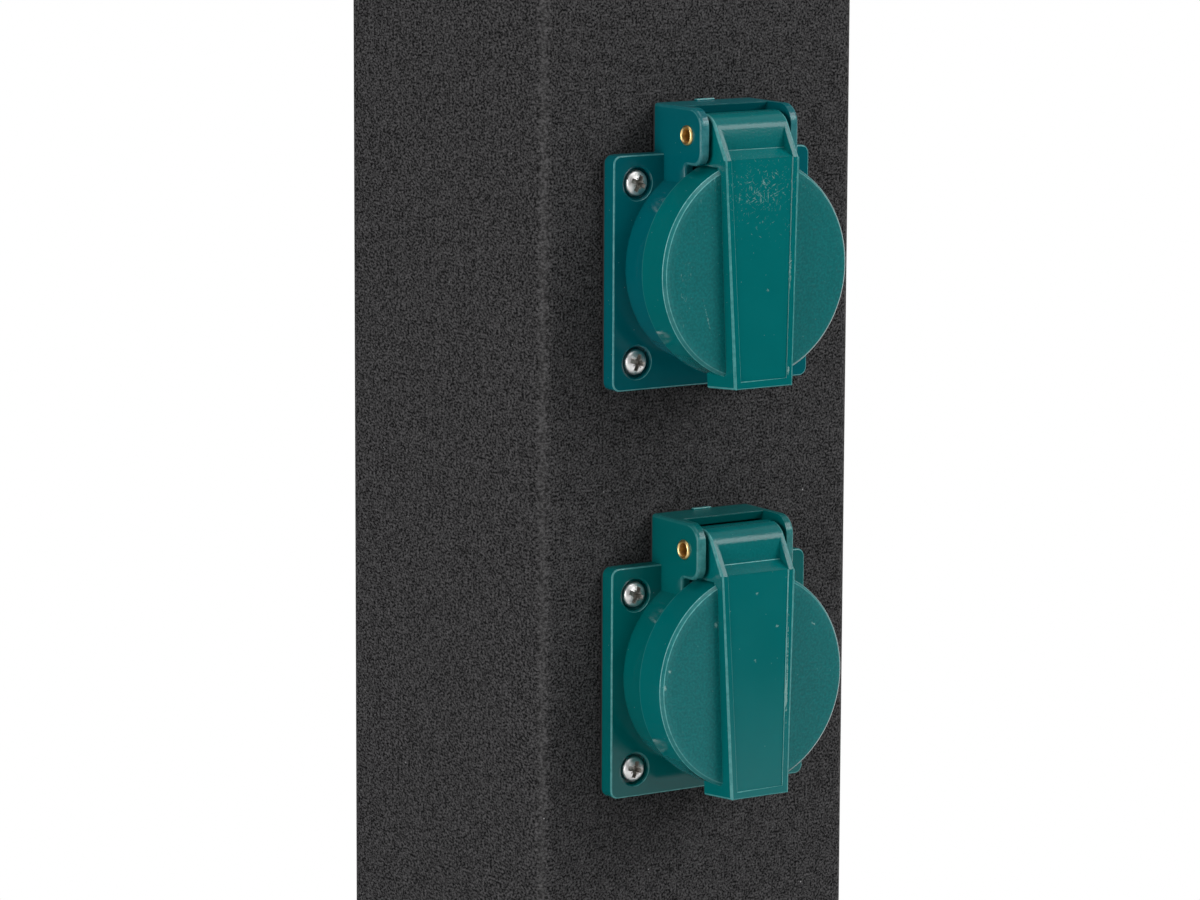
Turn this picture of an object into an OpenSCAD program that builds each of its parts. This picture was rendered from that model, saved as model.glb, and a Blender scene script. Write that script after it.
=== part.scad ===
// Garden socket post: a powder-coated square post on a base plate, with two
// splash-proof panel sockets that have sprung hinged lids.
// Millimetres, +Z up, origin on the ground under the post's axis. The sockets face -Y.

/* [Post] */
// Outside width of the square tube
post_w = 80; // [78:1:100]
// Wall of the tube
post_wall = 2; // [1.5:0.1:2.5]
// Outside corner radius of the tube
post_corner_r = 3; // [3:0.1:6]
// Height of the whole post, from the ground to the top of the cap
total_h = 400; // [370:1:520]
// Height of the lower socket's flange centre above the ground
lower_socket_h = 218; // [205:1:235]
// Distance between the two sockets' centres
socket_pitch = 88; // [75:1:105]

/* [Base and cap] */
// Width of the square base plate
base_w = 140; // [136:1:200]
// Thickness of the base plate
base_t = 4; // [3:0.5:8]
// Corner radius of the base plate
base_corner_r = 8; // [2:0.5:12]
// Distance between the anchor holes, both ways
anchor_pitch = 110; // [106:1:118]
// Diameter of an anchor hole
anchor_d = 9; // [6:0.5:11]
// Diameter of the cable hole through the base plate
cable_hole_d = 34; // [28:1:44]
// Height of the fixing ears that stand inside the post
ear_h = 30; // [24:1:45]
// Width of a fixing ear along the wall
ear_w = 44; // [36:1:56]
// Thickness of a fixing ear
ear_t = 3; // [2:0.5:4]
// Thickness of the cap's top plate
cap_t = 3; // [2:0.5:6]
// Depth of the cap's skirt inside the post
cap_skirt_h = 16; // [14:1:24]
// Wall of the cap's skirt
cap_skirt_t = 2; // [1.5:0.1:3]

/* [Socket housing] */
// Width of the square flange
flange_w = 50; // [49:0.5:56]
// Thickness of the flange
flange_t = 3.6; // [3:0.1:5]
// Corner radius of the flange
flange_corner_r = 2; // [1:0.1:4]
// Thickness of the gasket behind the flange
gasket_t = 0.8; // [0.5:0.1:2]
// Distance between the flange screws, both ways
screw_pitch = 38; // [38:0.5:40]
// Height of the round collar's centre above the flange's centre
drum_rise = 1.2; // [0:0.1:1.6]
// Outside radius of the collar
collar_r = 22; // [21.6:0.1:22.3]
// Reach of the collar's rim in front of the post
collar_reach = 17; // [16.5:0.1:17.4]
// Diameter of the plug recess
recess_d = 39; // [38.5:0.1:39.5]
// Depth of the plug recess
recess_depth = 17.5; // [17:0.1:18.5]
// Depth of the housing's cup behind the post's face
cup_depth = 22; // [20:0.5:26]
// Outside radius of the cup
cup_r = 21.8; // [21.6:0.1:22]
// Inside radius of the cup
cup_bore_r = 20.3; // [20.1:0.05:20.5]

/* [Hood and hinge] */
// Half of the hood's outside width
hood_half_w = 12.4; // [12:0.1:13.5]
// Thickness of a hood cheek
cheek_t = 2; // [1.6:0.1:2.2]
// Height of the hood's top above the flange's centre
hood_top = 35.4; // [35.2:0.1:37]
// Height of the cheeks' lower edge above the flange's centre
hood_bottom = 23.2; // [23.1:0.1:23.5]
// Reach of the cheeks in front of the post
cheek_reach = 18.3; // [17.9:0.1:18.6]
// Radius of a cheek's upper front corner
cheek_top_r = 4; // [2:0.1:5]
// Radius of a cheek's lower front corner
cheek_bottom_r = 3; // [2.4:0.1:3.4]
// Reach of the notch under the cheeks
notch_reach = 12.2; // [11:0.1:12.3]
// Thickness of the hood's top wall
hood_top_t = 1.2; // [1:0.1:1.3]
// Reach of the hood's top wall
hood_top_reach = 9.6; // [8:0.1:9.8]
// Chamfer under the front edge of the top wall
hood_top_chamfer = 0.6; // [0.5:0.1:0.8]
// Height of the hinge pin above the flange's centre
pin_up = 29.5; // [29.4:0.1:29.7]
// Reach of the hinge pin in front of the post
pin_reach = 13.1; // [13:0.1:13.2]
// Outside diameter of the hollow hinge pin
pin_d = 3.4; // [3.2:0.1:3.6]
// Bore of the hollow hinge pin
pin_bore = 2.7; // [1.5:0.1:2.8]
// Diameter of the pin's rolled rim
pin_rim_d = 4.2; // [4:0.1:5]
// Thickness of the pin's rolled rim
pin_rim_t = 0.4; // [0.3:0.1:0.8]
// Wire of the lid spring
spring_wire = 0.8; // [0.6:0.05:0.85]
// Radius to the middle of the spring's wire
spring_r = 2.6; // [2.5:0.05:2.8]
// Width of the wound part of the spring
spring_w = 6; // [5.8:0.1:7]

/* [Lid] */
// Outside radius of the lid's disc and skirt
lid_r = 23.4; // [23.2:0.1:23.5]
// Wall of the lid's skirt
skirt_t = 0.8; // [0.6:0.05:0.85]
// Reach of the lid's face in front of the post
lid_reach = 21.1; // [20.8:0.1:22]
// Thickness of the lid's disc
disc_t = 2.4; // [2:0.1:2.5]
// Reach of the skirt's rear edge
skirt_rear = 12.6; // [12.6:0.1:14]
// Radius round the edge of the disc
disc_edge_r = 1; // [0.4:0.1:1.2]
// Half of the rib's width at its top
rib_top_half_w = 9.4; // [8.8:0.1:9.9]
// Half of the rib's width at its bottom
rib_bottom_half_w = 7.4; // [5:0.1:9]
// Height of the rib's top edge above the flange's centre
rib_top_up = 24.8; // [24.4:0.1:25.2]
// Depth of the rib's bottom edge below the flange's centre
rib_bottom_down = 23.4; // [23:0.1:25]
// Reach of the rib's face at its top edge
rib_top_reach = 22.9; // [22.8:0.1:24]
// Reach of the rib's face at its bottom edge
rib_bottom_reach = 24.3; // [22.9:0.1:26]
// Reach of the finger tab's rear face
tab_rear = 14; // [13:0.1:17]
// Extra depth of the finger tab at its rear
tab_drop = 0.8; // [0:0.1:1.5]
// Radius of the hinge knuckle
knuckle_r = 4.5; // [4.1:0.1:4.5]
// Width of the fins beside the sloping web
fin_w = 1.5; // [1:0.1:2.5]
// Border between the rib's edge and its sunk panel
panel_border = 1.7; // [1:0.1:2.5]
// Depth of the rib's sunk panel
panel_depth = 0.25; // [0.1:0.05:0.6]
// Thickness of the lid's sealing ring
seal_t = 1.5; // [1:0.1:1.55]
// Width of the lid's sealing ring
seal_w = 3.4; // [2.5:0.1:3.6]

/* [Contacts] */
// Distance between the plug's pin holes
pin_hole_pitch = 19; // [18.5:0.1:19.5]
// Diameter of a pin hole
pin_hole_d = 5.4; // [5:0.1:5.8]
// Thickness of the contact carrier
carrier_t = 9; // [8:0.1:10]
// Outside diameter of a contact sleeve
sleeve_d = 6.4; // [6.2:0.1:7]
// Bore of a contact sleeve
sleeve_bore = 4.9; // [4.5:0.1:5]
// Length of a terminal behind the carrier
terminal_l = 8; // [6.5:0.1:8.5]
// Thickness of the earth clip's strip
clip_t = 0.8; // [0.6:0.05:0.9]
// Width of the earth clip's strip
clip_w = 6; // [5:0.1:6.5]
// Height of the earth terminal below the collar's centre
earth_terminal_down = 10; // [9:0.1:10.5]
// Thickness of the back cover
back_cover_t = 2; // [1.5:0.1:3]

/* [Wiring] */
// Diameter of an insulated wire
wire_d = 2.4; // [1.8:0.1:2.7]
// Distance between the terminal block's poles
pole_pitch = 10; // [9.5:0.1:12]
// Height of the terminal block's top above the ground
block_top_h = 132; // [125:1:138]
// Height of the terminal block
block_h = 22; // [20:0.5:24]
// Depth of the terminal block
block_depth = 18; // [16:0.5:20]
// Height of the terminal bracket above the ground
bracket_h = 146; // [142:1:152]
// Thickness of the bracket's sheet
bracket_t = 2; // [1.5:0.1:3]
// Height of the bracket's gland arm above the ground
gland_arm_h = 44; // [42:1:54]
// Diameter of the gland's thread
gland_thread_d = 20; // [18:0.5:22]
// Bore of the gland's seal
gland_bore = 11; // [8:0.5:13]
// Diameter of the earth stud
earth_stud_d = 5; // [4:0.5:6]
// Height of the earth stud above the ground
earth_stud_h = 86; // [80:1:90]

/* [Screws and fits] */
// Head diameter of a flange screw
flange_head_d = 5.6; // [5:0.1:6.4]
// Shank diameter of a flange screw
flange_shank_d = 3.2; // [2.8:0.1:3.6]
// Length of a flange screw under its head
flange_screw_l = 9; // [8:0.5:14]
// Depth of the counterbore in the flange
counterbore_depth = 1.5; // [1:0.1:1.8]
// Head diameter of the foot, cap and bracket screws
case_head_d = 8; // [7:0.1:9]
// Shank diameter of the foot, cap and bracket screws
case_shank_d = 4; // [3.5:0.1:4.5]
// Clearance of a sliding or seated fit
seat_clear = 0.3; // [0.2:0.05:0.4]
// Clearance of a press or thread fit
press_clear = 0.02; // [0.01:0.01:0.05]
// Clearance of the lid on its pin, on the radius
run_clear = 0.05; // [0.03:0.01:0.09]
// Clearance round the flange screws' heads, on the radius
head_clear = 0.8; // [0.5:0.1:1]
// Light contact gap between pieces that touch
touch_gap = 0.1; // [0.05:0.01:0.15]

/* [Hidden] */

$fn = 64;
cut = 1;

coat_black = "#343334";
socket_green = "#0B6466";
rubber_black = "#1C1C1E";
brass = "#C9A55A";
steel = "#B9BCBE";
insulator_grey = "#4A4C4E";
block_white = "#D8D6CE";
wire_brown = "#6A3F22";
wire_blue = "#2E5FA8";
wire_green = "#6FA03A";

upper_socket_h = lower_socket_h + socket_pitch;
socket_heights = [lower_socket_h, upper_socket_h];
post_inner_w = post_w - 2 * post_wall;
post_inner_r = post_corner_r - post_wall + 0.5;
post_face = post_w / 2;
flange_front = gasket_t + flange_t;
recess_floor = collar_reach - recess_depth;
carrier_rear = recess_floor - carrier_t;
terminal_rear = carrier_rear - terminal_l;
cheek_inner = hood_half_w - cheek_t;
skirt_in_r = lid_r - skirt_t;
disc_rear = lid_reach - disc_t;
knuckle_top = pin_up + knuckle_r;
fastener_rise = 0.6;

// Slope of the lid's arm, from the rounded shoulder down to the rib's top edge
slope_angle = 60;
shoulder_r = knuckle_r;
slope_n = [sin(slope_angle), cos(slope_angle)];
slope_d = slope_n[0] * rib_top_reach + slope_n[1] * rib_top_up;
shoulder_up = knuckle_top - shoulder_r;
shoulder_reach = (slope_d - shoulder_r - slope_n[1] * shoulder_up) / slope_n[0];
shoulder_end = [shoulder_reach + shoulder_r * slope_n[0], shoulder_up + shoulder_r * slope_n[1]];

// Pieces inside the foot of the post
ear_face = post_inner_w / 2 - seat_clear;
foot_screw_h = base_t + ear_h * 0.55;
foot_screw_y = ear_w / 4;
cap_under = total_h - cap_t;
cap_screw_h = cap_under - cap_skirt_h / 2;
cap_skirt_w = post_inner_w - 2 * seat_clear;
bracket_face = post_inner_w / 2 - 8;
bracket_half_w = 23;
bracket_foot = 22;
gland_arm_half_w = 18;
gland_arm_front = 20;
block_ear_w = 6;
block_ear_t = 3.2;
block_half_w = 1.5 * pole_pitch + block_ear_w;
block_screw_x = block_half_w - block_ear_w / 2;
block_screw_h = block_top_h - block_h / 2;
block_screw_d = 3;
block_head_d = 5;
block_head_h = 2;
screw_run_out = 2;
pole_gap = 1;
clamp_depth = 8;
clamp_drop = 5;
clamp_hole_r = 2.2;
clamp_head_d = 3.8;
clamp_head_h = 1.6;
clamp_shank_d = 2.6;
clamp_shank_l = 2;
clamp_sink = 3;

// Cable gland, from the dome that grips the cable up to the lock nut
gland_hex_d = gland_thread_d * 1.4;
gland_hex_h = gland_thread_d * 0.4;
gland_dome_d = gland_thread_d * 1.15;
gland_dome_h = gland_thread_d * 0.6;
gland_thread_l = bracket_t + gland_thread_d * 0.4;
gland_nut_h = gland_thread_d * 0.25;
gland_foot_h = gland_arm_h - gland_hex_h - gland_dome_h;
gland_lip = gland_dome_h / 6;
seal_wall = 2.5;
seal_seat_d = gland_bore + 2 * seal_wall;
gland_seal_h = gland_dome_h - touch_gap - gland_lip / 2;
block_front = bracket_face - block_depth;
block_bottom_h = block_top_h - block_h;
wire_hole_r = wire_d / 2 + seat_clear;
wire_side = wire_hole_r + 0.8;
pole_y = bracket_face - block_depth / 2;

// 2D outlines
module rounded_square(w, r) {
  square([w - 2 * r, w], center = true);
  square([w, w - 2 * r], center = true);
  for (sx = [-1, 1], sy = [-1, 1]) {
    translate([sx * (w / 2 - r), sy * (w / 2 - r)]) circle(r = r);
  }
}

// Puts a piece drawn as x right, y up and z outwards on the post's front face
module at_socket(h) {
  translate([0, -post_face, h]) rotate([90, 0, 0]) children();
}

// Extrudes an outline drawn as reach and height along the socket's width
module along_width(w) {
  rotate([0, -90, 0]) linear_extrude(w, center = true) children();
}

module flange_screw_places() {
  for (sx = [-1, 1], sy = [-1, 1]) {
    translate([sx * screw_pitch / 2, sy * screw_pitch / 2, 0]) children();
  }
}

// A pan-head screw along +z with its head's seat at z = 0
module pan_screw(head_d, head_h, shank_d, length) {
  dome_r = head_d;
  slot_w = head_d * 0.14;
  slot_l = head_d * 0.52;
  difference() {
    union() {
      intersection() {
        cylinder(d = head_d, h = head_h);
        translate([0, 0, head_h - dome_r]) sphere(r = dome_r);
      }
      translate([0, 0, -length]) cylinder(d = shank_d, h = length);
    }
    for (turn = [0, 90]) {
      rotate([0, 0, turn])
        translate([-slot_l / 2, -slot_w / 2, head_h * 0.45]) cube([slot_l, slot_w, head_h]);
    }
  }
}

// A closed round tube of triangles that follows a list of points
function unit(v) = v / norm(v);
function path_dir(p, i) = unit(p[min(i + 1, len(p) - 1)] - p[max(i - 1, 0)]);
function side_dir(t) = unit([1, 0, 0] - t[0] * t);
function ring_point(p, i, r, a) =
  let (t = path_dir(p, i), n = side_dir(t), b = cross(t, n))
  p[i] + r * (cos(a) * n + sin(a) * b);
module tube(path, r, sides) {
  rings = len(path);
  last = (rings - 1) * sides;
  points = [for (i = [0 : rings - 1], k = [0 : sides - 1]) ring_point(path, i, r, 360 * k / sides)];
  walls = [
    for (i = [0 : rings - 2], k = [0 : sides - 1], half = [0, 1])
      let (a = i * sides + k, b = i * sides + (k + 1) % sides)
      half == 0 ? [a, a + sides, b] : [b, a + sides, b + sides]
  ];
  start_cap = [for (k = [1 : sides - 2]) [0, k, k + 1]];
  end_cap = [for (k = [1 : sides - 2]) [last, last + k + 1, last + k]];
  polyhedron(points = points, faces = concat(walls, start_cap, end_cap), convexity = 4);
}

// Post, base and cap

module post_tube() {
  color(coat_black) difference() {
    translate([0, 0, base_t]) linear_extrude(cap_under - base_t) difference() {
      rounded_square(post_w, post_corner_r);
      rounded_square(post_inner_w, post_inner_r);
    }
    for (h = socket_heights) at_socket(h) {
      translate([0, drum_rise, -post_wall - cut])
        cylinder(r = cup_r + seat_clear, h = post_wall + 2 * cut);
      flange_screw_places() translate([0, 0, -post_wall - cut])
        cylinder(d = flange_shank_d + 2 * press_clear, h = post_wall + 2 * cut);
    }
    for (side = [0, 180]) rotate([0, 0, side]) {
      for (sy = [-1, 1]) translate([post_w / 2 + cut, sy * foot_screw_y, foot_screw_h])
        rotate([0, -90, 0]) cylinder(d = case_shank_d + 2 * seat_clear, h = post_wall + 2 * cut);
      translate([post_w / 2 + cut, 0, cap_screw_h])
        rotate([0, -90, 0]) cylinder(d = case_shank_d + 2 * seat_clear, h = post_wall + 2 * cut);
    }
  }
}

module base_plate() {
  color(coat_black) difference() {
    union() {
      linear_extrude(base_t) rounded_square(base_w, base_corner_r);
      for (side = [0, 180]) rotate([0, 0, side])
        translate([ear_face - ear_t, -ear_w / 2, 0]) cube([ear_t, ear_w, base_t + ear_h]);
    }
    translate([0, 0, -cut]) cylinder(d = cable_hole_d, h = base_t + 2 * cut);
    for (sx = [-1, 1], sy = [-1, 1])
      translate([sx * anchor_pitch / 2, sy * anchor_pitch / 2, -cut])
        cylinder(d = anchor_d, h = base_t + 2 * cut);
    for (side = [0, 180], sy = [-1, 1]) rotate([0, 0, side])
      translate([ear_face - ear_t - cut, sy * foot_screw_y, foot_screw_h])
        rotate([0, 90, 0]) cylinder(d = case_shank_d + 2 * press_clear, h = ear_t + 2 * cut);
    for (sx = [-1, 1]) translate([sx * bracket_half_w * 0.7, bracket_face - bracket_foot / 2, -cut])
      cylinder(d = case_shank_d + 2 * press_clear, h = base_t + 2 * cut);
  }
}

module top_cap() {
  color(coat_black) difference() {
    union() {
      translate([0, 0, cap_under]) linear_extrude(cap_t) rounded_square(post_w, post_corner_r);
      translate([0, 0, cap_under - cap_skirt_h]) linear_extrude(cap_skirt_h + cap_t / 2) difference() {
        rounded_square(cap_skirt_w, post_inner_r);
        square(cap_skirt_w - 2 * cap_skirt_t, center = true);
      }
    }
    for (side = [0, 180]) rotate([0, 0, side])
      translate([cap_skirt_w / 2 - cap_skirt_t - cut, 0, cap_screw_h])
        rotate([0, 90, 0]) cylinder(d = case_shank_d + 2 * press_clear, h = cap_skirt_t + 2 * cut);
  }
}

module case_screw(length) {
  pan_screw(case_head_d, case_head_d * 0.4, case_shank_d, length);
}

module cap_screws() {
  color(steel) for (side = [0, 180]) rotate([0, 0, side])
    translate([post_w / 2, 0, cap_screw_h]) rotate([0, 90, 0])
      case_screw(post_wall + seat_clear + cap_skirt_t + screw_run_out);
}

module foot_screws() {
  color(steel) for (side = [0, 180], sy = [-1, 1]) rotate([0, 0, side])
    translate([post_w / 2, sy * foot_screw_y, foot_screw_h]) rotate([0, 90, 0])
      case_screw(post_wall + seat_clear + ear_t + screw_run_out);
}

// Terminal bracket, gland and earth inside the foot

module terminal_bracket() {
  stud_hole_d = earth_stud_d + 2 * press_clear;
  color(steel) difference() {
    union() {
      translate([-bracket_half_w, bracket_face, base_t])
        cube([2 * bracket_half_w, bracket_t, bracket_h - base_t]);
      translate([-bracket_half_w, bracket_face - bracket_foot, base_t])
        cube([2 * bracket_half_w, bracket_foot + bracket_t, bracket_t]);
      translate([-gland_arm_half_w, -gland_arm_front, gland_arm_h])
        cube([2 * gland_arm_half_w, gland_arm_front + bracket_face + bracket_t, bracket_t]);
    }
    translate([0, 0, gland_arm_h - cut])
      cylinder(d = gland_thread_d + 2 * seat_clear, h = bracket_t + 2 * cut);
    translate([0, 0, base_t - cut]) cylinder(d = cable_hole_d, h = bracket_t + 2 * cut);
    for (sx = [-1, 1]) translate([sx * bracket_half_w * 0.7, bracket_face - bracket_foot / 2, base_t - cut])
      cylinder(d = case_shank_d + 2 * seat_clear, h = bracket_t + 2 * cut);
    translate([0, bracket_face - cut, earth_stud_h]) rotate([-90, 0, 0])
      cylinder(d = stud_hole_d, h = bracket_t + 2 * cut);
    for (sx = [-1, 1]) translate([sx * block_screw_x, bracket_face - cut, block_screw_h]) rotate([-90, 0, 0])
      cylinder(d = block_screw_d + 2 * press_clear, h = bracket_t + 2 * cut);
  }
}

module bracket_screws() {
  color(steel) for (sx = [-1, 1])
    translate([sx * bracket_half_w * 0.7, bracket_face - bracket_foot / 2, base_t + bracket_t])
      case_screw(bracket_t + base_t / 2);
}

module terminal_block() {
  color(block_white) difference() {
    union() {
      for (pole = [-1 : 1]) translate([(pole - 0.5) * pole_pitch + pole_gap / 2, block_front, block_bottom_h])
        cube([pole_pitch - pole_gap, block_depth, block_h]);
      translate([-block_half_w, bracket_face - block_ear_t, block_bottom_h + block_h * 0.1])
        cube([2 * block_half_w, block_ear_t, block_h * 0.8]);
    }
    for (pole = [-1 : 1]) {
      for (side = [-1, 1])
        translate([pole * pole_pitch + side * wire_side, pole_y, block_top_h - clamp_depth])
          cylinder(r = wire_hole_r, h = clamp_depth + cut);
      translate([pole * pole_pitch, pole_y, block_bottom_h - cut])
        cylinder(r = wire_hole_r, h = clamp_depth + cut);
      for (h = [block_top_h - clamp_drop, block_bottom_h + clamp_drop])
        translate([pole * pole_pitch, block_front - cut, h]) rotate([-90, 0, 0])
          cylinder(r = clamp_hole_r, h = clamp_sink + clamp_shank_l + cut);
    }
    for (sx = [-1, 1]) translate([sx * block_screw_x, bracket_face + cut, block_screw_h]) rotate([90, 0, 0])
      cylinder(d = block_screw_d + 2 * seat_clear, h = block_ear_t + 2 * cut);
  }
}

module block_screws() {
  color(steel) for (sx = [-1, 1])
    translate([sx * block_screw_x, bracket_face - block_ear_t, block_screw_h]) rotate([90, 0, 0])
      pan_screw(block_head_d, block_head_h, block_screw_d, block_ear_t + bracket_t + screw_run_out);
}

module clamp_screws() {
  color(steel) for (pole = [-1 : 1], h = [block_top_h - clamp_drop, block_bottom_h + clamp_drop])
    translate([pole * pole_pitch, block_front + clamp_sink, h]) rotate([90, 0, 0])
      pan_screw(clamp_head_d, clamp_head_h, clamp_shank_d, clamp_shank_l);
}

module cable_gland() {
  color(insulator_grey) difference() {
    union() {
      translate([0, 0, gland_arm_h - gland_hex_h]) cylinder(d = gland_hex_d, h = gland_hex_h, $fn = 6);
      translate([0, 0, gland_foot_h]) cylinder(d = gland_dome_d, h = gland_dome_h);
      translate([0, 0, gland_arm_h]) cylinder(d = gland_thread_d, h = gland_thread_l);
    }
    translate([0, 0, gland_foot_h - cut])
      cylinder(d = gland_bore, h = gland_dome_h + gland_hex_h + gland_thread_l + 2 * cut);
    translate([0, 0, gland_foot_h + gland_lip]) cylinder(d = seal_seat_d, h = gland_dome_h);
  }
}

module gland_seal() {
  color(rubber_black) translate([0, 0, gland_foot_h + gland_lip + touch_gap]) difference() {
    cylinder(d = seal_seat_d - 2 * touch_gap, h = gland_seal_h);
    translate([0, 0, -cut]) cylinder(d = gland_bore, h = gland_seal_h + 2 * cut);
  }
}

module gland_nut() {
  color(insulator_grey) translate([0, 0, gland_arm_h + bracket_t]) difference() {
    cylinder(d = gland_hex_d, h = gland_nut_h, $fn = 6);
    translate([0, 0, -cut]) cylinder(d = gland_thread_d + 2 * press_clear, h = gland_nut_h + 2 * cut);
  }
}

earth_lug_t = 1;
earth_nut_t = 4;
lug_barrel_wall = 1;
lug_barrel_d = wire_d + 2 * lug_barrel_wall;
lug_barrel_y = bracket_face - lug_barrel_d / 2 - touch_gap;
lug_barrel_floor = 2;
lug_barrel_h = earth_stud_h + earth_stud_d + lug_barrel_floor;
lug_barrel_l = 6;

module earth_stud() {
  head_h = earth_stud_d * 0.4;
  color(steel) translate([0, bracket_face + bracket_t, earth_stud_h]) rotate([90, 0, 0]) {
    cylinder(d = earth_stud_d, h = bracket_t + earth_lug_t + earth_nut_t + screw_run_out);
    translate([0, 0, -head_h]) cylinder(d = earth_stud_d * 1.8, h = head_h);
  }
}

module earth_lug() {
  color(steel) difference() {
    union() {
      translate([0, bracket_face, earth_stud_h]) rotate([90, 0, 0])
        cylinder(r = earth_stud_d, h = earth_lug_t);
      translate([-lug_barrel_d / 2, bracket_face - earth_lug_t, earth_stud_h])
        cube([lug_barrel_d, earth_lug_t, lug_barrel_h - earth_stud_h + lug_barrel_wall]);
      translate([0, lug_barrel_y, lug_barrel_h]) cylinder(d = lug_barrel_d, h = lug_barrel_l);
    }
    translate([0, bracket_face + cut, earth_stud_h]) rotate([90, 0, 0])
      cylinder(d = earth_stud_d + 2 * touch_gap, h = earth_lug_t + 2 * cut);
    translate([0, lug_barrel_y, lug_barrel_h + lug_barrel_floor])
      cylinder(d = wire_d + 2 * touch_gap, h = lug_barrel_l);
  }
}

module earth_nut() {
  color(steel) translate([0, bracket_face - earth_lug_t, earth_stud_h]) rotate([90, 0, 0]) difference() {
    cylinder(d = earth_stud_d * 1.8, h = earth_nut_t, $fn = 6);
    translate([0, 0, -cut]) cylinder(d = earth_stud_d + 2 * press_clear, h = earth_nut_t + 2 * cut);
  }
}

// Wires: straight back out of a terminal, round a bend, down behind the sockets,
// and across in an easy curve into the top of the terminal block

wire_bend_r = 8;
wire_steps = 6;
wire_lead = 6;
wire_curve_h = 30;
wire_curve_foot = block_top_h + wire_lead;
wire_curve_top = wire_curve_foot + wire_curve_h;
wire_seat = block_top_h - wire_lead;
wire_gap = 3;

function ease(t) = (1 - cos(180 * t)) / 2;
function socket_wire(x, up, drop_y, pole_x) =
  let (start_y = -post_face - terminal_rear + touch_gap)
  concat(
    [[x, start_y, up]],
    [for (i = [0 : wire_steps]) let (a = 90 * i / wire_steps)
      [x, drop_y - wire_bend_r + wire_bend_r * sin(a), up - wire_bend_r + wire_bend_r * cos(a)]],
    [for (i = [0 : wire_steps]) let (t = i / wire_steps)
      [x + (pole_x - x) * ease(t), drop_y + (pole_y - drop_y) * ease(t),
        wire_curve_top + (wire_curve_foot - wire_curve_top) * t]],
    [[pole_x, pole_y, wire_seat]]
  );

// The upper socket's wires hang behind the lower socket's
lower_drop_y = -post_face + cup_depth + back_cover_t + wire_bend_r + wire_gap;
upper_drop_y = lower_drop_y + wire_d + 2 * wire_gap;

module socket_wires(x, down, pole) {
  tube(socket_wire(x, lower_socket_h + drum_rise - down, lower_drop_y,
    pole * pole_pitch + wire_side), wire_d / 2, 8);
  tube(socket_wire(x, upper_socket_h + drum_rise - down, upper_drop_y,
    pole * pole_pitch - wire_side), wire_d / 2, 8);
}

module line_wires() {
  color(wire_brown) socket_wires(pin_hole_pitch / 2, 0, 1);
}

module neutral_wires() {
  color(wire_blue) socket_wires(-pin_hole_pitch / 2, 0, -1);
}

module earth_wires() {
  bond_start = lug_barrel_h + lug_barrel_floor + touch_gap;
  bond_top = lug_barrel_h + lug_barrel_l + lug_barrel_wall;
  bond_foot = block_bottom_h - lug_barrel_wall;
  color(wire_green) {
    socket_wires(0, earth_terminal_down, 0);
    tube(concat(
      [[0, lug_barrel_y, bond_start]],
      [for (i = [0 : wire_steps]) let (t = i / wire_steps)
        [0, lug_barrel_y + (pole_y - lug_barrel_y) * ease(t), bond_top + (bond_foot - bond_top) * t]],
      [[0, pole_y, block_bottom_h + wire_lead]]
    ), wire_d / 2, 8);
  }
}

// Socket housing: flange, collar, rear cup and the hood that carries the hinge

module cheek_outline() {
  top_c = [cheek_reach - cheek_top_r, hood_top - cheek_top_r];
  low_c = [cheek_reach - cheek_bottom_r, hood_bottom + cheek_bottom_r];
  translate([gasket_t, hood_bottom]) square([top_c[0] - gasket_t, hood_top - hood_bottom]);
  translate([gasket_t, low_c[1]]) square([cheek_reach - gasket_t, top_c[1] - low_c[1]]);
  translate([gasket_t, hood_bottom]) square([low_c[0] - gasket_t, top_c[1] - hood_bottom]);
  translate(top_c) circle(r = cheek_top_r);
  translate(low_c) circle(r = cheek_bottom_r);
  translate([gasket_t, drum_rise + collar_r / 2])
    square([notch_reach - gasket_t, hood_top - drum_rise - collar_r / 2]);
}

module hood() {
  top_wall = [
    [gasket_t, hood_top],
    [hood_top_reach, hood_top],
    [hood_top_reach, hood_top - hood_top_t + hood_top_chamfer],
    [hood_top_reach - hood_top_chamfer, hood_top - hood_top_t],
    [gasket_t, hood_top - hood_top_t]
  ];
  for (sx = [-1, 1]) translate([sx * (hood_half_w - cheek_t / 2), 0, 0]) along_width(cheek_t) cheek_outline();
  along_width(2 * hood_half_w) polygon(top_wall);
  translate([-hood_half_w, drum_rise + collar_r / 2, gasket_t])
    cube([2 * hood_half_w, hood_top - drum_rise - collar_r / 2, flange_t / 2]);
}

module socket_housing() {
  color(socket_green) difference() {
    union() {
      translate([0, 0, gasket_t]) linear_extrude(flange_t) rounded_square(flange_w, flange_corner_r);
      translate([0, drum_rise, gasket_t]) cylinder(r = collar_r, h = collar_reach - gasket_t, $fn = 128);
      translate([0, drum_rise, -cup_depth]) cylinder(r = cup_r, h = cup_depth + flange_front, $fn = 128);
      hood();
    }
    translate([0, drum_rise, recess_floor - cut]) cylinder(d = recess_d, h = collar_reach, $fn = 128);
    translate([0, drum_rise, recess_floor]) cylinder(d = recess_d, h = recess_depth + cut, $fn = 128);
    translate([0, drum_rise, -cup_depth - cut])
      cylinder(r = cup_bore_r, h = cup_depth + cut + recess_floor, $fn = 128);
    flange_screw_places() {
      cylinder(d = flange_shank_d + 2 * seat_clear, h = flange_front + cut);
      translate([0, 0, flange_front - counterbore_depth])
        cylinder(d = flange_head_d + 2 * head_clear, h = counterbore_depth + cut);
    }
    translate([0, pin_up, pin_reach]) rotate([0, 90, 0])
      cylinder(d = pin_d + 2 * press_clear, h = 2 * hood_half_w + 2 * cut, center = true);
  }
}

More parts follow.
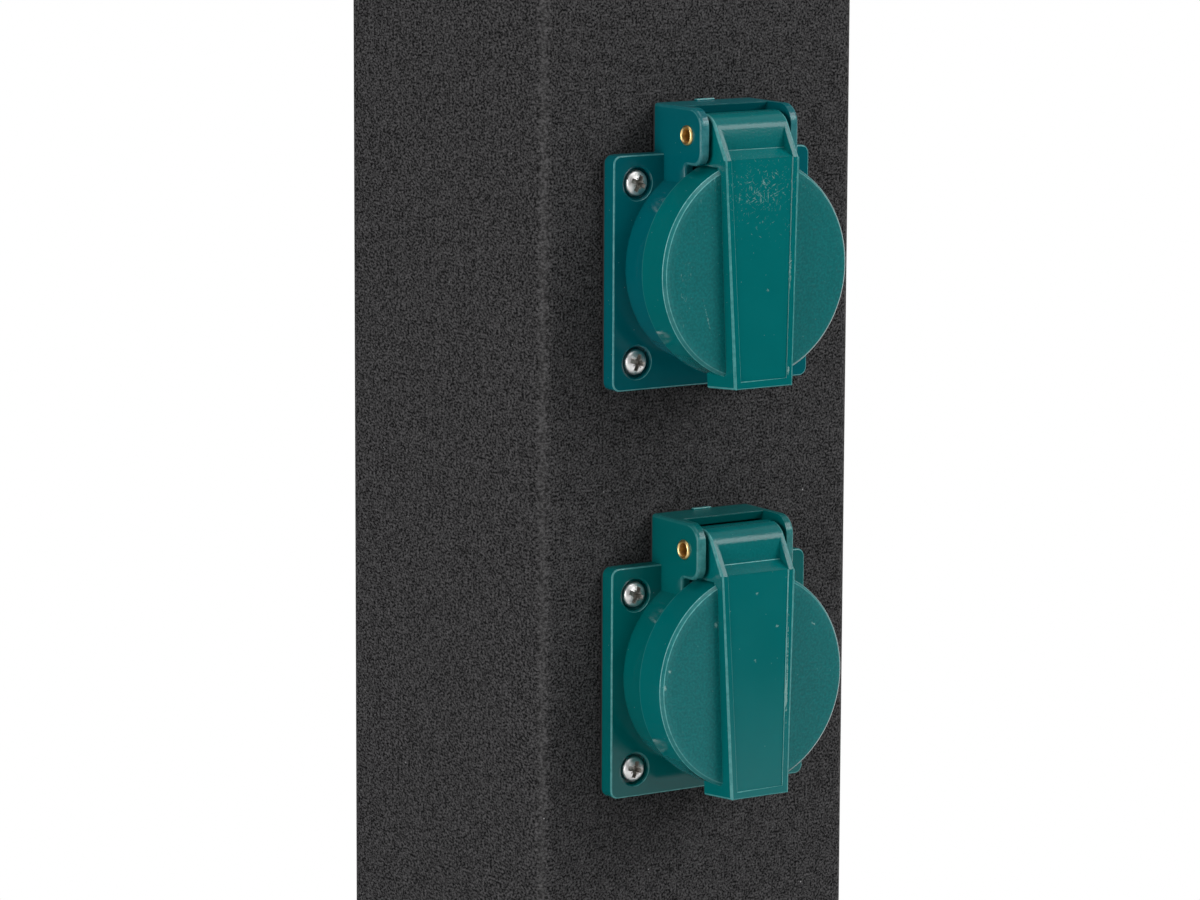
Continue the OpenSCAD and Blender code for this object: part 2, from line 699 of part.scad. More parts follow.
module socket_gasket() {
  color(rubber_black) linear_extrude(gasket_t) difference() {
    union() {
      rounded_square(flange_w, flange_corner_r);
      translate([-hood_half_w, 0]) square([2 * hood_half_w, hood_top]);
    }
    translate([0, drum_rise]) circle(r = cup_r + touch_gap);
    for (sx = [-1, 1], sy = [-1, 1])
      translate([sx * screw_pitch / 2, sy * screw_pitch / 2]) circle(d = flange_shank_d + 2 * seat_clear);
  }
}

module flange_screws() {
  color(steel) flange_screw_places() translate([0, 0, flange_front - counterbore_depth])
    pan_screw(flange_head_d, counterbore_depth + fastener_rise, flange_shank_d, flange_screw_l);
}

// Contacts inside the housing

carrier_front = recess_floor - touch_gap / 2;
clip_half_h = recess_d / 2 - 0.6;
clip_slot = 2;
clip_reach = 11;
clip_bulge = 1.6;
clip_bulge_l = 4;
cover_rim_t = 1.6;
sleeve_lip = 1.5;
sleeve_floor = 1;
sleeve_front = carrier_front - sleeve_lip;
terminal_w = 7;
terminal_h = 8;
earth_terminal_h = 7;
terminal_bore_l = 6;
terminal_screw_d = 2.6;
terminal_screw_l = 2.4;
terminal_head_d = 4.6;
terminal_head_h = 1.8;

module contact_carrier() {
  carrier_r = cup_bore_r - seat_clear / 2;
  color(insulator_grey) difference() {
    translate([0, 0, carrier_rear]) cylinder(r = carrier_r, h = carrier_front - carrier_rear, $fn = 128);
    for (sx = [-1, 1]) translate([sx * pin_hole_pitch / 2, 0, 0]) {
      translate([0, 0, carrier_rear - cut]) cylinder(d = pin_hole_d, h = carrier_t + 2 * cut);
      translate([0, 0, carrier_rear - cut])
        cylinder(d = sleeve_d + 2 * seat_clear, h = sleeve_front - carrier_rear + cut);
    }
    for (turn = [0, 180]) rotate([0, 0, turn])
      translate([-clip_w / 2 - touch_gap, clip_half_h - clip_slot / 2, carrier_rear - cut])
        cube([clip_w + 2 * touch_gap, carrier_r, carrier_t + 2 * cut]);
  }
}

module terminal_screw_hole(l) {
  cylinder(d = terminal_screw_d + 2 * press_clear, h = l);
}

module pin_contacts() {
  color(brass) for (sx = [-1, 1]) translate([sx * pin_hole_pitch / 2, 0, 0]) difference() {
    union() {
      translate([0, 0, carrier_rear - touch_gap])
        cylinder(d = sleeve_d, h = sleeve_front - carrier_rear);
      translate([-terminal_w / 2, -terminal_h / 2, terminal_rear])
        cube([terminal_w, terminal_h, terminal_l - touch_gap]);
    }
    translate([0, 0, carrier_rear + sleeve_floor]) cylinder(d = sleeve_bore, h = carrier_t);
    translate([0, 0, terminal_rear - cut])
      cylinder(d = wire_d - 2 * seat_clear, h = terminal_bore_l + cut);
    translate([0, 0, carrier_rear - terminal_l / 2]) rotate([-90, 0, 0]) terminal_screw_hole(terminal_h);
  }
}

module earth_clip() {
  tip = recess_floor + clip_reach;
  bar = carrier_rear - clip_t - touch_gap;
  leg = [
    [bar, clip_half_h - clip_t],
    [bar, clip_half_h],
    [tip, clip_half_h],
    [tip, clip_half_h - clip_t],
    [tip - clip_bulge_l, clip_half_h - clip_t - clip_bulge],
    [tip - 2 * clip_bulge_l, clip_half_h - clip_t]
  ];
  color(steel) difference() {
    union() {
      for (flip = [0, 1]) mirror([0, flip, 0]) along_width(clip_w) polygon(leg);
      translate([-clip_w / 2, -clip_half_h, bar]) cube([clip_w, 2 * clip_half_h, clip_t]);
      translate([-clip_w / 2, -earth_terminal_down - earth_terminal_h / 2, terminal_rear])
        cube([clip_w, earth_terminal_h, terminal_l - touch_gap]);
    }
    translate([0, -earth_terminal_down, terminal_rear - cut])
      cylinder(d = wire_d - 2 * seat_clear, h = terminal_bore_l + cut);
    translate([0, -earth_terminal_down, carrier_rear - terminal_l / 2]) rotate([90, 0, 0])
      terminal_screw_hole(earth_terminal_h);
  }
}

module terminal_screw() {
  pan_screw(terminal_head_d, terminal_head_h, terminal_screw_d, terminal_screw_l);
}

module terminal_screws() {
  color(steel) {
    for (sx = [-1, 1]) translate([sx * pin_hole_pitch / 2, terminal_h / 2, carrier_rear - terminal_l / 2])
      rotate([-90, 0, 0]) terminal_screw();
    translate([0, -earth_terminal_down - earth_terminal_h / 2, carrier_rear - terminal_l / 2])
      rotate([90, 0, 0]) terminal_screw();
  }
}

module back_cover() {
  rim_r = cup_bore_r - seat_clear / 2;
  color(insulator_grey) difference() {
    union() {
      translate([0, 0, -cup_depth - back_cover_t]) cylinder(r = cup_r, h = back_cover_t, $fn = 128);
      translate([0, 0, -cup_depth]) difference() {
        cylinder(r = rim_r, h = cup_depth + carrier_rear - touch_gap, $fn = 128);
        translate([0, 0, -cut]) cylinder(r = rim_r - cover_rim_t, h = cup_depth, $fn = 128);
      }
    }
    for (place = [[-pin_hole_pitch / 2, 0], [pin_hole_pitch / 2, 0], [0, -earth_terminal_down]])
      translate([place[0], place[1], -cup_depth - back_cover_t - cut])
        cylinder(r = wire_d / 2 + 2 * seat_clear, h = back_cover_t + 2 * cut);
    for (sy = [-1, 1]) translate([0, sy * clip_half_h, carrier_rear])
      cube([clip_w + 2 * touch_gap, 2 * clip_slot, 2 * (clip_t + 2 * touch_gap)], center = true);
  }
}

// Lid: a dished disc with a tapering rib, a finger tab and an arm up to the hinge

module disc_outline() {
  translate([0, disc_rear]) square([lid_r - disc_edge_r, disc_t]);
  translate([0, disc_rear]) square([lid_r, disc_t - disc_edge_r]);
  translate([lid_r - disc_edge_r, lid_reach - disc_edge_r]) circle(r = disc_edge_r);
  translate([skirt_in_r, skirt_rear]) square([skirt_t, disc_rear - skirt_rear + cut / 2]);
}

module rib_outline() {
  bar = [
    [skirt_rear, drum_rise + collar_r],
    [skirt_rear, pin_up],
    [pin_reach, pin_up],
    [shoulder_reach, shoulder_up],
    shoulder_end,
    [rib_top_reach, rib_top_up],
    [rib_bottom_reach, -rib_bottom_down],
    [tab_rear, -rib_bottom_down - tab_drop],
    [tab_rear, drum_rise - collar_r + 3],
    [lid_reach - disc_t / 2, drum_rise - collar_r + 3],
    [lid_reach - disc_t / 2, drum_rise + collar_r]
  ];
  polygon(bar);
  translate([pin_reach, pin_up]) square([shoulder_reach - pin_reach, knuckle_r]);
  translate([shoulder_reach, shoulder_up]) circle(r = shoulder_r);
  translate([pin_reach, pin_up]) circle(r = knuckle_r);
}

function rib_half_w(up) =
  rib_bottom_half_w + (rib_top_half_w - rib_bottom_half_w)
    * (up + rib_bottom_down) / (rib_top_up + rib_bottom_down);

module rib_front_outline(inset) {
  low = -rib_bottom_down - (inset > 0 ? -inset : tab_drop + cut);
  polygon([
    [-rib_half_w(low) + inset, low],
    [rib_half_w(low) - inset, low],
    [rib_top_half_w - inset, rib_top_up - inset],
    [rib_top_half_w - inset, inset > 0 ? rib_top_up : knuckle_top + cut],
    [-rib_top_half_w + inset, inset > 0 ? rib_top_up : knuckle_top + cut],
    [-rib_top_half_w + inset, rib_top_up - inset]
  ]);
}

// The sloping web lies a little below the fins at its sides
module web_cut() {
  step = [
    rib_top_reach - slope_n[1] / slope_n[0] * 2.2 - 0.85,
    rib_top_up + 2.2
  ];
  polygon([
    shoulder_end,
    step,
    [rib_top_reach - 0.05, rib_top_up + 0.1],
    [rib_top_reach + cut, rib_top_up + cut],
    [shoulder_end[0] + cut, shoulder_end[1] + cut]
  ]);
}

module panel_cut() {
  polygon([
    [rib_top_reach - panel_depth, rib_top_up + 0.1],
    [rib_bottom_reach - panel_depth, -rib_bottom_down],
    [rib_bottom_reach + cut, -rib_bottom_down],
    [rib_top_reach + cut, rib_top_up + 0.1]
  ]);
}

pocket_half_w = spring_w / 2 + spring_wire / 2 + 1;
pocket_r = spring_r + spring_wire / 2 + 0.7;
groove_front = pin_reach + spring_r + spring_wire / 2 + 0.2;

module lid() {
  color(socket_green) difference() {
    union() {
      translate([0, drum_rise, 0]) rotate_extrude($fn = 128) disc_outline();
      intersection() {
        along_width(4 * rib_top_half_w) rib_outline();
        linear_extrude(rib_bottom_reach + cut) rib_front_outline(0);
      }
    }
    translate([0, drum_rise, 0]) cylinder(r = skirt_in_r, h = disc_rear, $fn = 128);
    along_width(2 * (rib_top_half_w - fin_w)) web_cut();
    intersection() {
      along_width(4 * rib_top_half_w) panel_cut();
      linear_extrude(rib_bottom_reach + 2 * cut) rib_front_outline(panel_border);
    }
    translate([0, pin_up, pin_reach]) rotate([0, 90, 0]) {
      cylinder(r = pin_d / 2 + run_clear, h = 4 * rib_top_half_w, center = true);
      cylinder(r = pocket_r, h = 2 * pocket_half_w, center = true);
    }
    translate([-pocket_half_w, drum_rise, pin_reach - knuckle_r - cut])
      cube([2 * pocket_half_w, 2 * hood_top, knuckle_r + cut - knuckle_r * 0.4]);
    translate([-pocket_half_w, drum_rise, skirt_rear - cut])
      cube([2 * pocket_half_w, pin_up - drum_rise, groove_front - skirt_rear + cut]);
  }
}

module lid_seal() {
  color(rubber_black) translate([0, drum_rise, disc_rear - seal_t - touch_gap / 2]) difference() {
    cylinder(r = skirt_in_r - seat_clear, h = seal_t, $fn = 128);
    translate([0, 0, -cut]) cylinder(r = skirt_in_r - seat_clear - seal_w, h = seal_t + 2 * cut, $fn = 128);
  }
}

module hinge_pin() {
  rim_inner = hood_half_w + press_clear;
  color(brass) translate([0, pin_up, pin_reach]) rotate([0, 90, 0]) difference() {
    union() {
      cylinder(d = pin_d, h = 2 * (rim_inner + pin_rim_t), center = true);
      for (sx = [-1, 1]) translate([0, 0, sx * (rim_inner + pin_rim_t / 2)])
        cylinder(d = pin_rim_d, h = pin_rim_t, center = true);
    }
    cylinder(d = pin_bore, h = 2 * (rim_inner + pin_rim_t) + cut, center = true);
  }
}

// Lid spring: one leg stands on the collar, the coil winds round the pin and the
// other leg presses on the lid's arm
spring_out_angle = 145;
spring_turns = 4;
spring_leg_rings = 3;
spring_steps = 8 * spring_turns + 3;
spring_sweep = 360 * spring_turns + spring_out_angle;
spring_leg_dir = [-sin(spring_out_angle), cos(spring_out_angle)];
collar_top_up = drum_rise + sqrt(collar_r * collar_r - spring_w * spring_w / 4);
spring_seat_up = collar_top_up + spring_wire / 2 + touch_gap;
spring_leg_l = (pin_up + spring_r * sin(spring_out_angle) - spring_seat_up) / -spring_leg_dir[1];
spring_arm_l = pin_up - drum_rise - skirt_in_r - 1;

function coil_point(s) =
  let (a = spring_sweep * s)
  [spring_w / 2 - spring_w * s, pin_up + spring_r * sin(a), pin_reach + spring_r * cos(a)];
spring_path = concat(
  [for (i = [spring_leg_rings : -1 : 1])
    [spring_w / 2, pin_up - spring_arm_l * i / spring_leg_rings, pin_reach + spring_r]],
  [for (i = [0 : spring_steps]) coil_point(i / spring_steps)],
  [for (i = [1 : spring_leg_rings])
    [-spring_w / 2, coil_point(1)[1] + spring_leg_dir[1] * spring_leg_l * i / spring_leg_rings,
      coil_point(1)[2] + spring_leg_dir[0] * spring_leg_l * i / spring_leg_rings]]
);
spring_pitch = spring_w * 360 / spring_sweep;
echo(spring_gap = spring_pitch - spring_wire);

module lid_spring() {
  color(steel) tube(spring_path, spring_wire / 2, 6);
}

module in_drum(h) {
  at_socket(h) translate([0, drum_rise, 0]) children();
}

post_tube();
base_plate();
top_cap();
cap_screws();
foot_screws();
terminal_bracket();
bracket_screws();
terminal_block();
block_screws();
clamp_screws();
cable_gland();
gland_nut();
gland_seal();
earth_stud();
earth_lug();
earth_nut();
line_wires();
neutral_wires();
earth_wires();
at_socket(upper_socket_h) socket_housing();  // upper_housing
at_socket(upper_socket_h) socket_gasket();  // upper_gasket
at_socket(upper_socket_h) flange_screws();  // upper_flange_screws
in_drum(upper_socket_h) contact_carrier();  // upper_contact_carrier
in_drum(upper_socket_h) pin_contacts();  // upper_pin_contacts
in_drum(upper_socket_h) earth_clip();  // upper_earth_clip
in_drum(upper_socket_h) terminal_screws();  // upper_terminal_screws
in_drum(upper_socket_h) back_cover();  // upper_back_cover
at_socket(upper_socket_h) lid();  // upper_lid
at_socket(upper_socket_h) lid_seal();  // upper_lid_seal
at_socket(upper_socket_h) hinge_pin();  // upper_hinge_pin
at_socket(upper_socket_h) lid_spring();  // upper_lid_spring
at_socket(lower_socket_h) socket_housing();  // lower_housing
at_socket(lower_socket_h) socket_gasket();  // lower_gasket
at_socket(lower_socket_h) flange_screws();  // lower_flange_screws
in_drum(lower_socket_h) contact_carrier();  // lower_contact_carrier
in_drum(lower_socket_h) pin_contacts();  // lower_pin_contacts
in_drum(lower_socket_h) earth_clip();  // lower_earth_clip
in_drum(lower_socket_h) terminal_screws();  // lower_terminal_screws
in_drum(lower_socket_h) back_cover();  // lower_back_cover
at_socket(lower_socket_h) lid();  // lower_lid
at_socket(lower_socket_h) lid_seal();  // lower_lid_seal
at_socket(lower_socket_h) hinge_pin();  // lower_hinge_pin
at_socket(lower_socket_h) lid_spring();  // lower_lid_spring
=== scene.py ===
import math

import bmesh
import bpy
from mathutils import Matrix, Vector
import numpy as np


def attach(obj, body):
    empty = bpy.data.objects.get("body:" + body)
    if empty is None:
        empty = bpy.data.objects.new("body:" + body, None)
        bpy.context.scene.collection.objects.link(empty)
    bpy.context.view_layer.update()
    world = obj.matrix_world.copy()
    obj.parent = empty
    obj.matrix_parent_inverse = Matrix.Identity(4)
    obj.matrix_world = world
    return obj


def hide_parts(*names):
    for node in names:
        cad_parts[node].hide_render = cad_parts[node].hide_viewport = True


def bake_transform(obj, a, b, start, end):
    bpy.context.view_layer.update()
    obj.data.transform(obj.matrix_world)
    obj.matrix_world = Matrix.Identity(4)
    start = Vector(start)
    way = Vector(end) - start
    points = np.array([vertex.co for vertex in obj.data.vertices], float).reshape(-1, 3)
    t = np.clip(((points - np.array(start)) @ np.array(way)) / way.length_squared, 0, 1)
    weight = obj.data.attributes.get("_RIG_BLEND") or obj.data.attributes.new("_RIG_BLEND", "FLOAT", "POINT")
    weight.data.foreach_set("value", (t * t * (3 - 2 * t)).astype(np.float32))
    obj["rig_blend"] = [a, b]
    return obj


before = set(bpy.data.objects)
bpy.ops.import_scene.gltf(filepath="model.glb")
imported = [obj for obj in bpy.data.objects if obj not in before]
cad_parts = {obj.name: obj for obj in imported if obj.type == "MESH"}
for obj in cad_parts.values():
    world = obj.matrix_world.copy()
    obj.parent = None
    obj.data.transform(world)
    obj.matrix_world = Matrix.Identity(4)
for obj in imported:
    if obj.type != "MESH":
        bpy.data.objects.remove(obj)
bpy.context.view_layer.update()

# Base plate: a square of 4 mm steel plate with four anchor holes, a cable hole and two
# welded ears that stand inside the post. It is laser cut and then powder coated, so the
# coat rounds every edge. Shapes are drawn in millimetres, here and below, and two places that
# are CLOSE count as one.
MM = 0.001
CLOSE = 0.01
STILL = Matrix.Identity(4)


def linear(hex_colour):
    """The linear RGBA of an sRGB hex colour."""
    channels = [int(hex_colour[i:i + 2], 16) / 255 for i in (1, 3, 5)]
    return [c / 12.92 if c <= 0.04045 else ((c + 0.055) / 1.055) ** 2.4 for c in channels] + [1.0]


def set_sockets(node, values):
    """Gives a value or a link to each of a node's sockets that is named."""
    for key, value in values.items():
        if isinstance(value, bpy.types.NodeSocket):
            node.id_data.links.new(value, node.inputs[key])
        else:
            node.inputs[key].default_value = value


def add_node(tree, kind, sockets=None, **settings):
    """Adds a shader node. Sockets take a value or a link, settings are the node's own."""
    made = tree.nodes.new(kind)
    for name, value in settings.items():
        setattr(made, name, value)
    set_sockets(made, sockets or {})
    return made


def noise(place, size_mm, **more):
    """A noise from 0 to 1 with lumps of about a size in millimetres."""
    return add_node(place.id_data, "ShaderNodeTexNoise", {
        "Vector": place, "Scale": 1 / (size_mm * MM), **more}).outputs[0]


def from_points(place, apart_mm):
    """How far a place is from the nearest of some scattered points, over their spacing."""
    return add_node(place.id_data, "ShaderNodeTexVoronoi", {
        "Vector": place, "Scale": 1 / (apart_mm * MM)}).outputs["Distance"]


def ramp(value, start=0.0, end=1.0, low=0.0, high=1.0):
    """Takes a value from the range start to end over to the range low to high."""
    return add_node(value.id_data, "ShaderNodeMapRange", {
        "Value": value, "From Min": start, "From Max": end,
        "To Min": low, "To Max": high}).outputs[0]


def calc(operation, *values):
    """One step of arithmetic with links and numbers."""
    tree = next(v.id_data for v in values if isinstance(v, bpy.types.NodeSocket))
    return add_node(tree, "ShaderNodeMath", dict(enumerate(values)), operation=operation).outputs[0]


def tint(amount, colour, tone):
    """A colour with an amount of a hex tone mixed in."""
    return add_node(amount.id_data, "ShaderNodeMix", {
        0: amount, 6: colour, 7: linear(tone)}, data_type="RGBA").outputs[2]


def attribute(tree, name):
    """A value that the faces of the mesh carry."""
    return add_node(tree, "ShaderNodeAttribute", attribute_name=name).outputs["Fac"]


def new_finish(name):
    """An empty material, its tree, its shader and the place on the piece in metres."""
    finish = bpy.data.materials.new(name)
    finish.use_nodes = True
    tree = finish.node_tree
    place = add_node(tree, "ShaderNodeTexCoord").outputs["Object"]
    return finish, tree, tree.nodes["Principled BSDF"], place


def block(low, high):
    """A closed box between two corners."""
    low, high = Vector(low), Vector(high)
    bm = bmesh.new()
    size = Matrix.Diagonal((*(high - low), 1))
    bmesh.ops.create_cube(bm, size=1, matrix=Matrix.Translation((low + high) / 2) @ size)
    return bm


def rod(start, end, radius, end_radius=None, segments=64):
    """A closed cylinder or cone between two points."""
    start, end = Vector(start), Vector(end)
    turn = Vector((0, 0, 1)).rotation_difference(end - start).to_matrix().to_4x4()
    bm = bmesh.new()
    bmesh.ops.create_cone(
        bm, cap_ends=True, segments=segments, radius1=radius,
        radius2=radius if end_radius is None else end_radius, depth=(end - start).length,
        matrix=Matrix.Translation((start + end) / 2) @ turn)
    return bm


def add_object(name, data):
    """Puts an object with a mesh, a lamp or a lens into the scene."""
    made = bpy.data.objects.new(name, data)
    bpy.context.collection.objects.link(made)
    return made


def add_shape(name, bm):
    """Puts a shape into the scene, and uses it up."""
    mesh = bpy.data.meshes.new(name)
    bm.to_mesh(mesh)
    bm.free()
    return add_object(name, mesh)


def combine(bm, tool, operation):
    """The exact boolean of two closed shapes, which are used up."""
    scratch = [add_shape("scratch", shape) for shape in (bm, tool)]
    step = scratch[0].modifiers.new("step", "BOOLEAN")
    step.operation = operation
    step.solver = "EXACT"
    step.object = scratch[1]
    result = bmesh.new()
    result.from_object(scratch[0], bpy.context.evaluated_depsgraph_get())
    for thing in scratch:
        mesh = thing.data
        bpy.data.objects.remove(thing)
        bpy.data.meshes.remove(mesh)
    bmesh.ops.remove_doubles(result, verts=result.verts, dist=0.001)
    return result


def cut(bm, tool):
    """A closed shape without the room that a tool takes up."""
    return combine(bm, tool, "DIFFERENCE")


def join(bm, other):
    """Two closed shapes as one skin."""
    return combine(bm, other, "UNION")


def drill(bm, start, end, radius, segments=64):
    """A shape with a round hole bored from one point to another."""
    return cut(bm, rod(start, end, radius, segments=segments))


def round_edges(bm, chosen, offset, segments, wear_and_highlight=0.0, clamp=True):
    """Rounds the edges that a test picks, and notes how pale the new faces are to be made: rubbed, and partly
    a painted highlight.
    Without the clamp, short edges next to them don't make the rounding smaller."""
    wear_and_highlight_layer = bm.faces.layers.float.get("wear_and_highlight") or bm.faces.layers.float.new("wear_and_highlight")
    edges = [e for e in bm.edges if chosen(e)]
    made = bmesh.ops.bevel(
        bm, geom=edges, offset=offset, offset_type="OFFSET", affect="EDGES", segments=segments,
        profile=0.5, material=-1, clamp_overlap=clamp)
    for face in made["faces"]:
        face[wear_and_highlight_layer] = wear_and_highlight


def runs_along(axis):
    """A test for the edges that run along an axis, 0 to 2."""
    return lambda e: abs((e.verts[0].co - e.verts[1].co).normalized()[axis]) > 0.999


def level(axis, at):
    """A test for the edges that lie at one height on an axis."""
    return lambda e: all(abs(v.co[axis] - at) < CLOSE for v in e.verts)


def keep(name, bm, finish, body, slot, nodes, place=STILL, sharp=35, second=None):
    """Makes the finished piece of a shape drawn in millimetres. A piece that bends has no body.
    The second finish is for the faces with material index 1."""
    bmesh.ops.transform(bm, matrix=Matrix.Scale(MM, 4) @ place, verts=bm.verts)
    for face in bm.faces:
        face.smooth = True
    for edge in bm.edges:
        edge.smooth = edge.calc_face_angle(0) < math.radians(sharp)
    piece = add_shape(name, bm)
    piece.data.materials.append(finish)
    if second:
        piece.data.materials.append(second)
    piece.modifiers.new("flat_faces_stay_flat", "WEIGHTED_NORMAL").keep_sharp = True
    if body:
        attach(piece, body)
    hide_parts(*nodes)
    return piece


# Powder coat, sand texture: charcoal, with a grain of small lumps that stand closer in some clouds than in
# others, pale dust, a few white specks, and paler edges: rubbed coat, and along the post's rounded corners
# also a painted highlight. The grain is drawn about twice as coarse as the real one, so that it still shows
# from a metre away, and longer in depth, so that it also shows on the sides, which the camera sees at a flat
# angle.
GRAIN_MM, CLOUD_MM, DUST_MM, SPECK_MM = 0.47, 2.2, 0.95, 8
GRAIN_STRETCH, CLOUD_SHARE = (1, 0.6, 1), 0.2
coat, tree, shader, place = new_finish("powder_coat_charcoal")
drawn = add_node(tree, "ShaderNodeMapping", {"Vector": place, "Scale": GRAIN_STRETCH}).outputs[0]
grain = noise(drawn, GRAIN_MM, Detail=2.0, Roughness=0.6)
cloud = noise(place, CLOUD_MM, Detail=3.0)
lumps = ramp(calc("MULTIPLY_ADD", cloud, CLOUD_SHARE, grain), 0.485, 0.8)
colour = tint(lumps, linear("#0B0B0C"), "#5A595A")
for apart_mm, size, strength, tone in (
        (DUST_MM, 0.13, 0.45, "#8A898A"), (SPECK_MM, 0.026, 0.8, "#B4B4B6")):
    fleck = ramp(from_points(place, apart_mm), size / 2, size, strength, 0.0)
    colour = tint(fleck, colour, tone)
# Paler tint on the marked edges: rubbed coat, and a painted highlight along the post's corners.
wear_and_highlight_tint = ramp(attribute(tree, "wear_and_highlight"), high=0.22)
bump = add_node(tree, "ShaderNodeBump", {"Height": grain, "Strength": 0.7, "Distance": 0.2 * MM})
set_sockets(shader, {
    "Base Color": tint(wear_and_highlight_tint, colour, "#636262"),
    "Roughness": ramp(grain, 0.3, 0.7, 0.8, 0.65),
    "Normal": bump.outputs[0], "IOR": 1.5, "Specular IOR Level": 0.06})

BASE_W, BASE_T, BASE_CORNER, BASE_EDGE = 140, 4, 8, 0.6
ANCHOR_AT, ANCHOR_R, CABLE_HOLE_R = 55, 4.5, 17
EAR_OUT, EAR_T, EAR_HALF_W, EAR_FOOT, EAR_TOP, EAR_CORNER, EAR_EDGE = 37.7, 3, 22, 1, 34, 4, 0.3
FOOT_SCREW_Y, FOOT_SCREW_Z, CASE_SHANK_R = 11, 20.5, 2
CASE_THREAD_R, CASE_HOLE_R = CASE_SHANK_R + 0.02, CASE_SHANK_R + 0.3
# Tools that cut the post's walls reach from INSIDE to OUTSIDE, counted from its axis. Tools that
# cut a thin piece end PAST its faces.
INSIDE, OUTSIDE, PAST = 30, 50, 9


def off_foot(e):
    """A test for the edges of an ear that stay clear of its welded foot."""
    return all(v.co.z > EAR_FOOT + CLOSE for v in e.verts)


plate = block((-BASE_W / 2, -BASE_W / 2, 0), (BASE_W / 2, BASE_W / 2, BASE_T))
round_edges(plate, runs_along(2), BASE_CORNER, 8)
for x in (-ANCHOR_AT, ANCHOR_AT):
    for y in (-ANCHOR_AT, ANCHOR_AT):
        plate = drill(plate, (x, y, -1), (x, y, PAST), ANCHOR_R)
plate = drill(plate, (0, 0, -1), (0, 0, PAST), CABLE_HOLE_R)
round_edges(plate, level(2, BASE_T), BASE_EDGE, 3, wear_and_highlight=0.4)
for x in (-1, 1):
    ear = block((-EAR_T / 2, -EAR_HALF_W, EAR_FOOT), (EAR_T / 2, EAR_HALF_W, EAR_TOP))
    round_edges(ear, lambda e: runs_along(0)(e) and off_foot(e), EAR_CORNER, 5)
    round_edges(ear, lambda e: e.calc_face_angle(0) > 1 and off_foot(e), EAR_EDGE, 2)
    bmesh.ops.translate(ear, verts=ear.verts, vec=(x * (EAR_OUT - EAR_T / 2), 0, 0))
    for y in (-FOOT_SCREW_Y, FOOT_SCREW_Y):
        ear = drill(ear, (x * INSIDE, y, FOOT_SCREW_Z), (x * OUTSIDE, y, FOOT_SCREW_Z), CASE_THREAD_R, 32)
    plate = join(plate, ear)
keep("base_plate_coated", plate, coat, "post", "coat_black", ["base_plate"])

# Post: a square 80 mm tube of 2 mm steel, with two round cut-outs in its front for the
# sockets and small holes for screws. Roll-formed corners, welded at the back, powder coated.
POST_W, POST_WALL, POST_CORNER, POST_TOP, CUT_EDGE = 80, 2, 3, 397, 0.35
SOCKETS = {"upper": 306, "lower": 218}
DRUM_RISE, CUT_OUT_R, SCREW_AT, FLANGE_HOLE_R, CAP_SCREW_Z = 1.2, 22.1, 19, 1.62, 389
SCREW_SPOTS = [(x, y) for x in (-SCREW_AT, SCREW_AT) for y in (-SCREW_AT, SCREW_AT)]
half = POST_W / 2
tube = block((-half, -half, BASE_T), (half, half, POST_TOP))
round_edges(tube, runs_along(2), POST_CORNER, 8)
# The coat is paler along the middle of each rounded corner: rubbed coat and a painted highlight.
wear_and_highlight_layer = tube.faces.layers.float["wear_and_highlight"]
tube.normal_update()
for face in tube.faces:
    face[wear_and_highlight_layer] = (2 * face.normal.x * face.normal.y) ** 4
for end in (POST_TOP, BASE_T):
    round_edges(tube, level(2, end), CUT_EDGE, 2, wear_and_highlight=0.3)
inner = half - POST_WALL
core = block((-inner, -inner, 0), (inner, inner, POST_TOP + PAST))
round_edges(core, runs_along(2), POST_CORNER - POST_WALL / 2, 4)
tube = cut(tube, core)
for h in SOCKETS.values():
    axis = h + DRUM_RISE
    tube = drill(tube, (0, -OUTSIDE, axis), (0, -INSIDE, axis), CUT_OUT_R, 96)
    for x, y in SCREW_SPOTS:
        tube = drill(tube, (x, -OUTSIDE, h + y), (x, -INSIDE, h + y), FLANGE_HOLE_R, 24)
for y, z in ((-FOOT_SCREW_Y, FOOT_SCREW_Z), (FOOT_SCREW_Y, FOOT_SCREW_Z), (0, CAP_SCREW_Z)):
    tube = drill(tube, (-OUTSIDE, y, z), (OUTSIDE, y, z), CASE_HOLE_R, 32)
keep("post_tube_coated", tube, coat, "post", "coat_black", ["post_tube"])

# Top cap: a shallow steel lid with a skirt that slides into the tube, held by a screw in
# each side. Pressed from sheet and powder coated with the post.
CAP_LOW, CAP_TOP, CAP_EDGE = POST_TOP + 0.05, 400, 1.2
CAP_SKIRT_W, CAP_SKIRT_H, CAP_SKIRT_T = 75.4, 16, 2
cap = block((-half, -half, CAP_LOW), (half, half, CAP_TOP))
round_edges(cap, runs_along(2), POST_CORNER, 8)
round_edges(cap, level(2, CAP_TOP), CAP_EDGE, 4, wear_and_highlight=0.3)
round_edges(cap, level(2, CAP_LOW), CUT_EDGE, 2)
inner = CAP_SKIRT_W / 2
skirt = block((-inner, -inner, POST_TOP - CAP_SKIRT_H), (inner, inner, POST_TOP + 1))
round_edges(skirt, runs_along(2), POST_CORNER - POST_WALL / 2, 4)
inner -= CAP_SKIRT_T
skirt = cut(skirt, block((-inner, -inner, 0), (inner, inner, POST_TOP)))
skirt = drill(skirt, (-OUTSIDE, 0, CAP_SCREW_Z), (OUTSIDE, 0, CAP_SCREW_Z), CASE_THREAD_R, 32)
keep("top_cap_coated", join(cap, skirt), coat, "post", "coat_black", ["top_cap"])

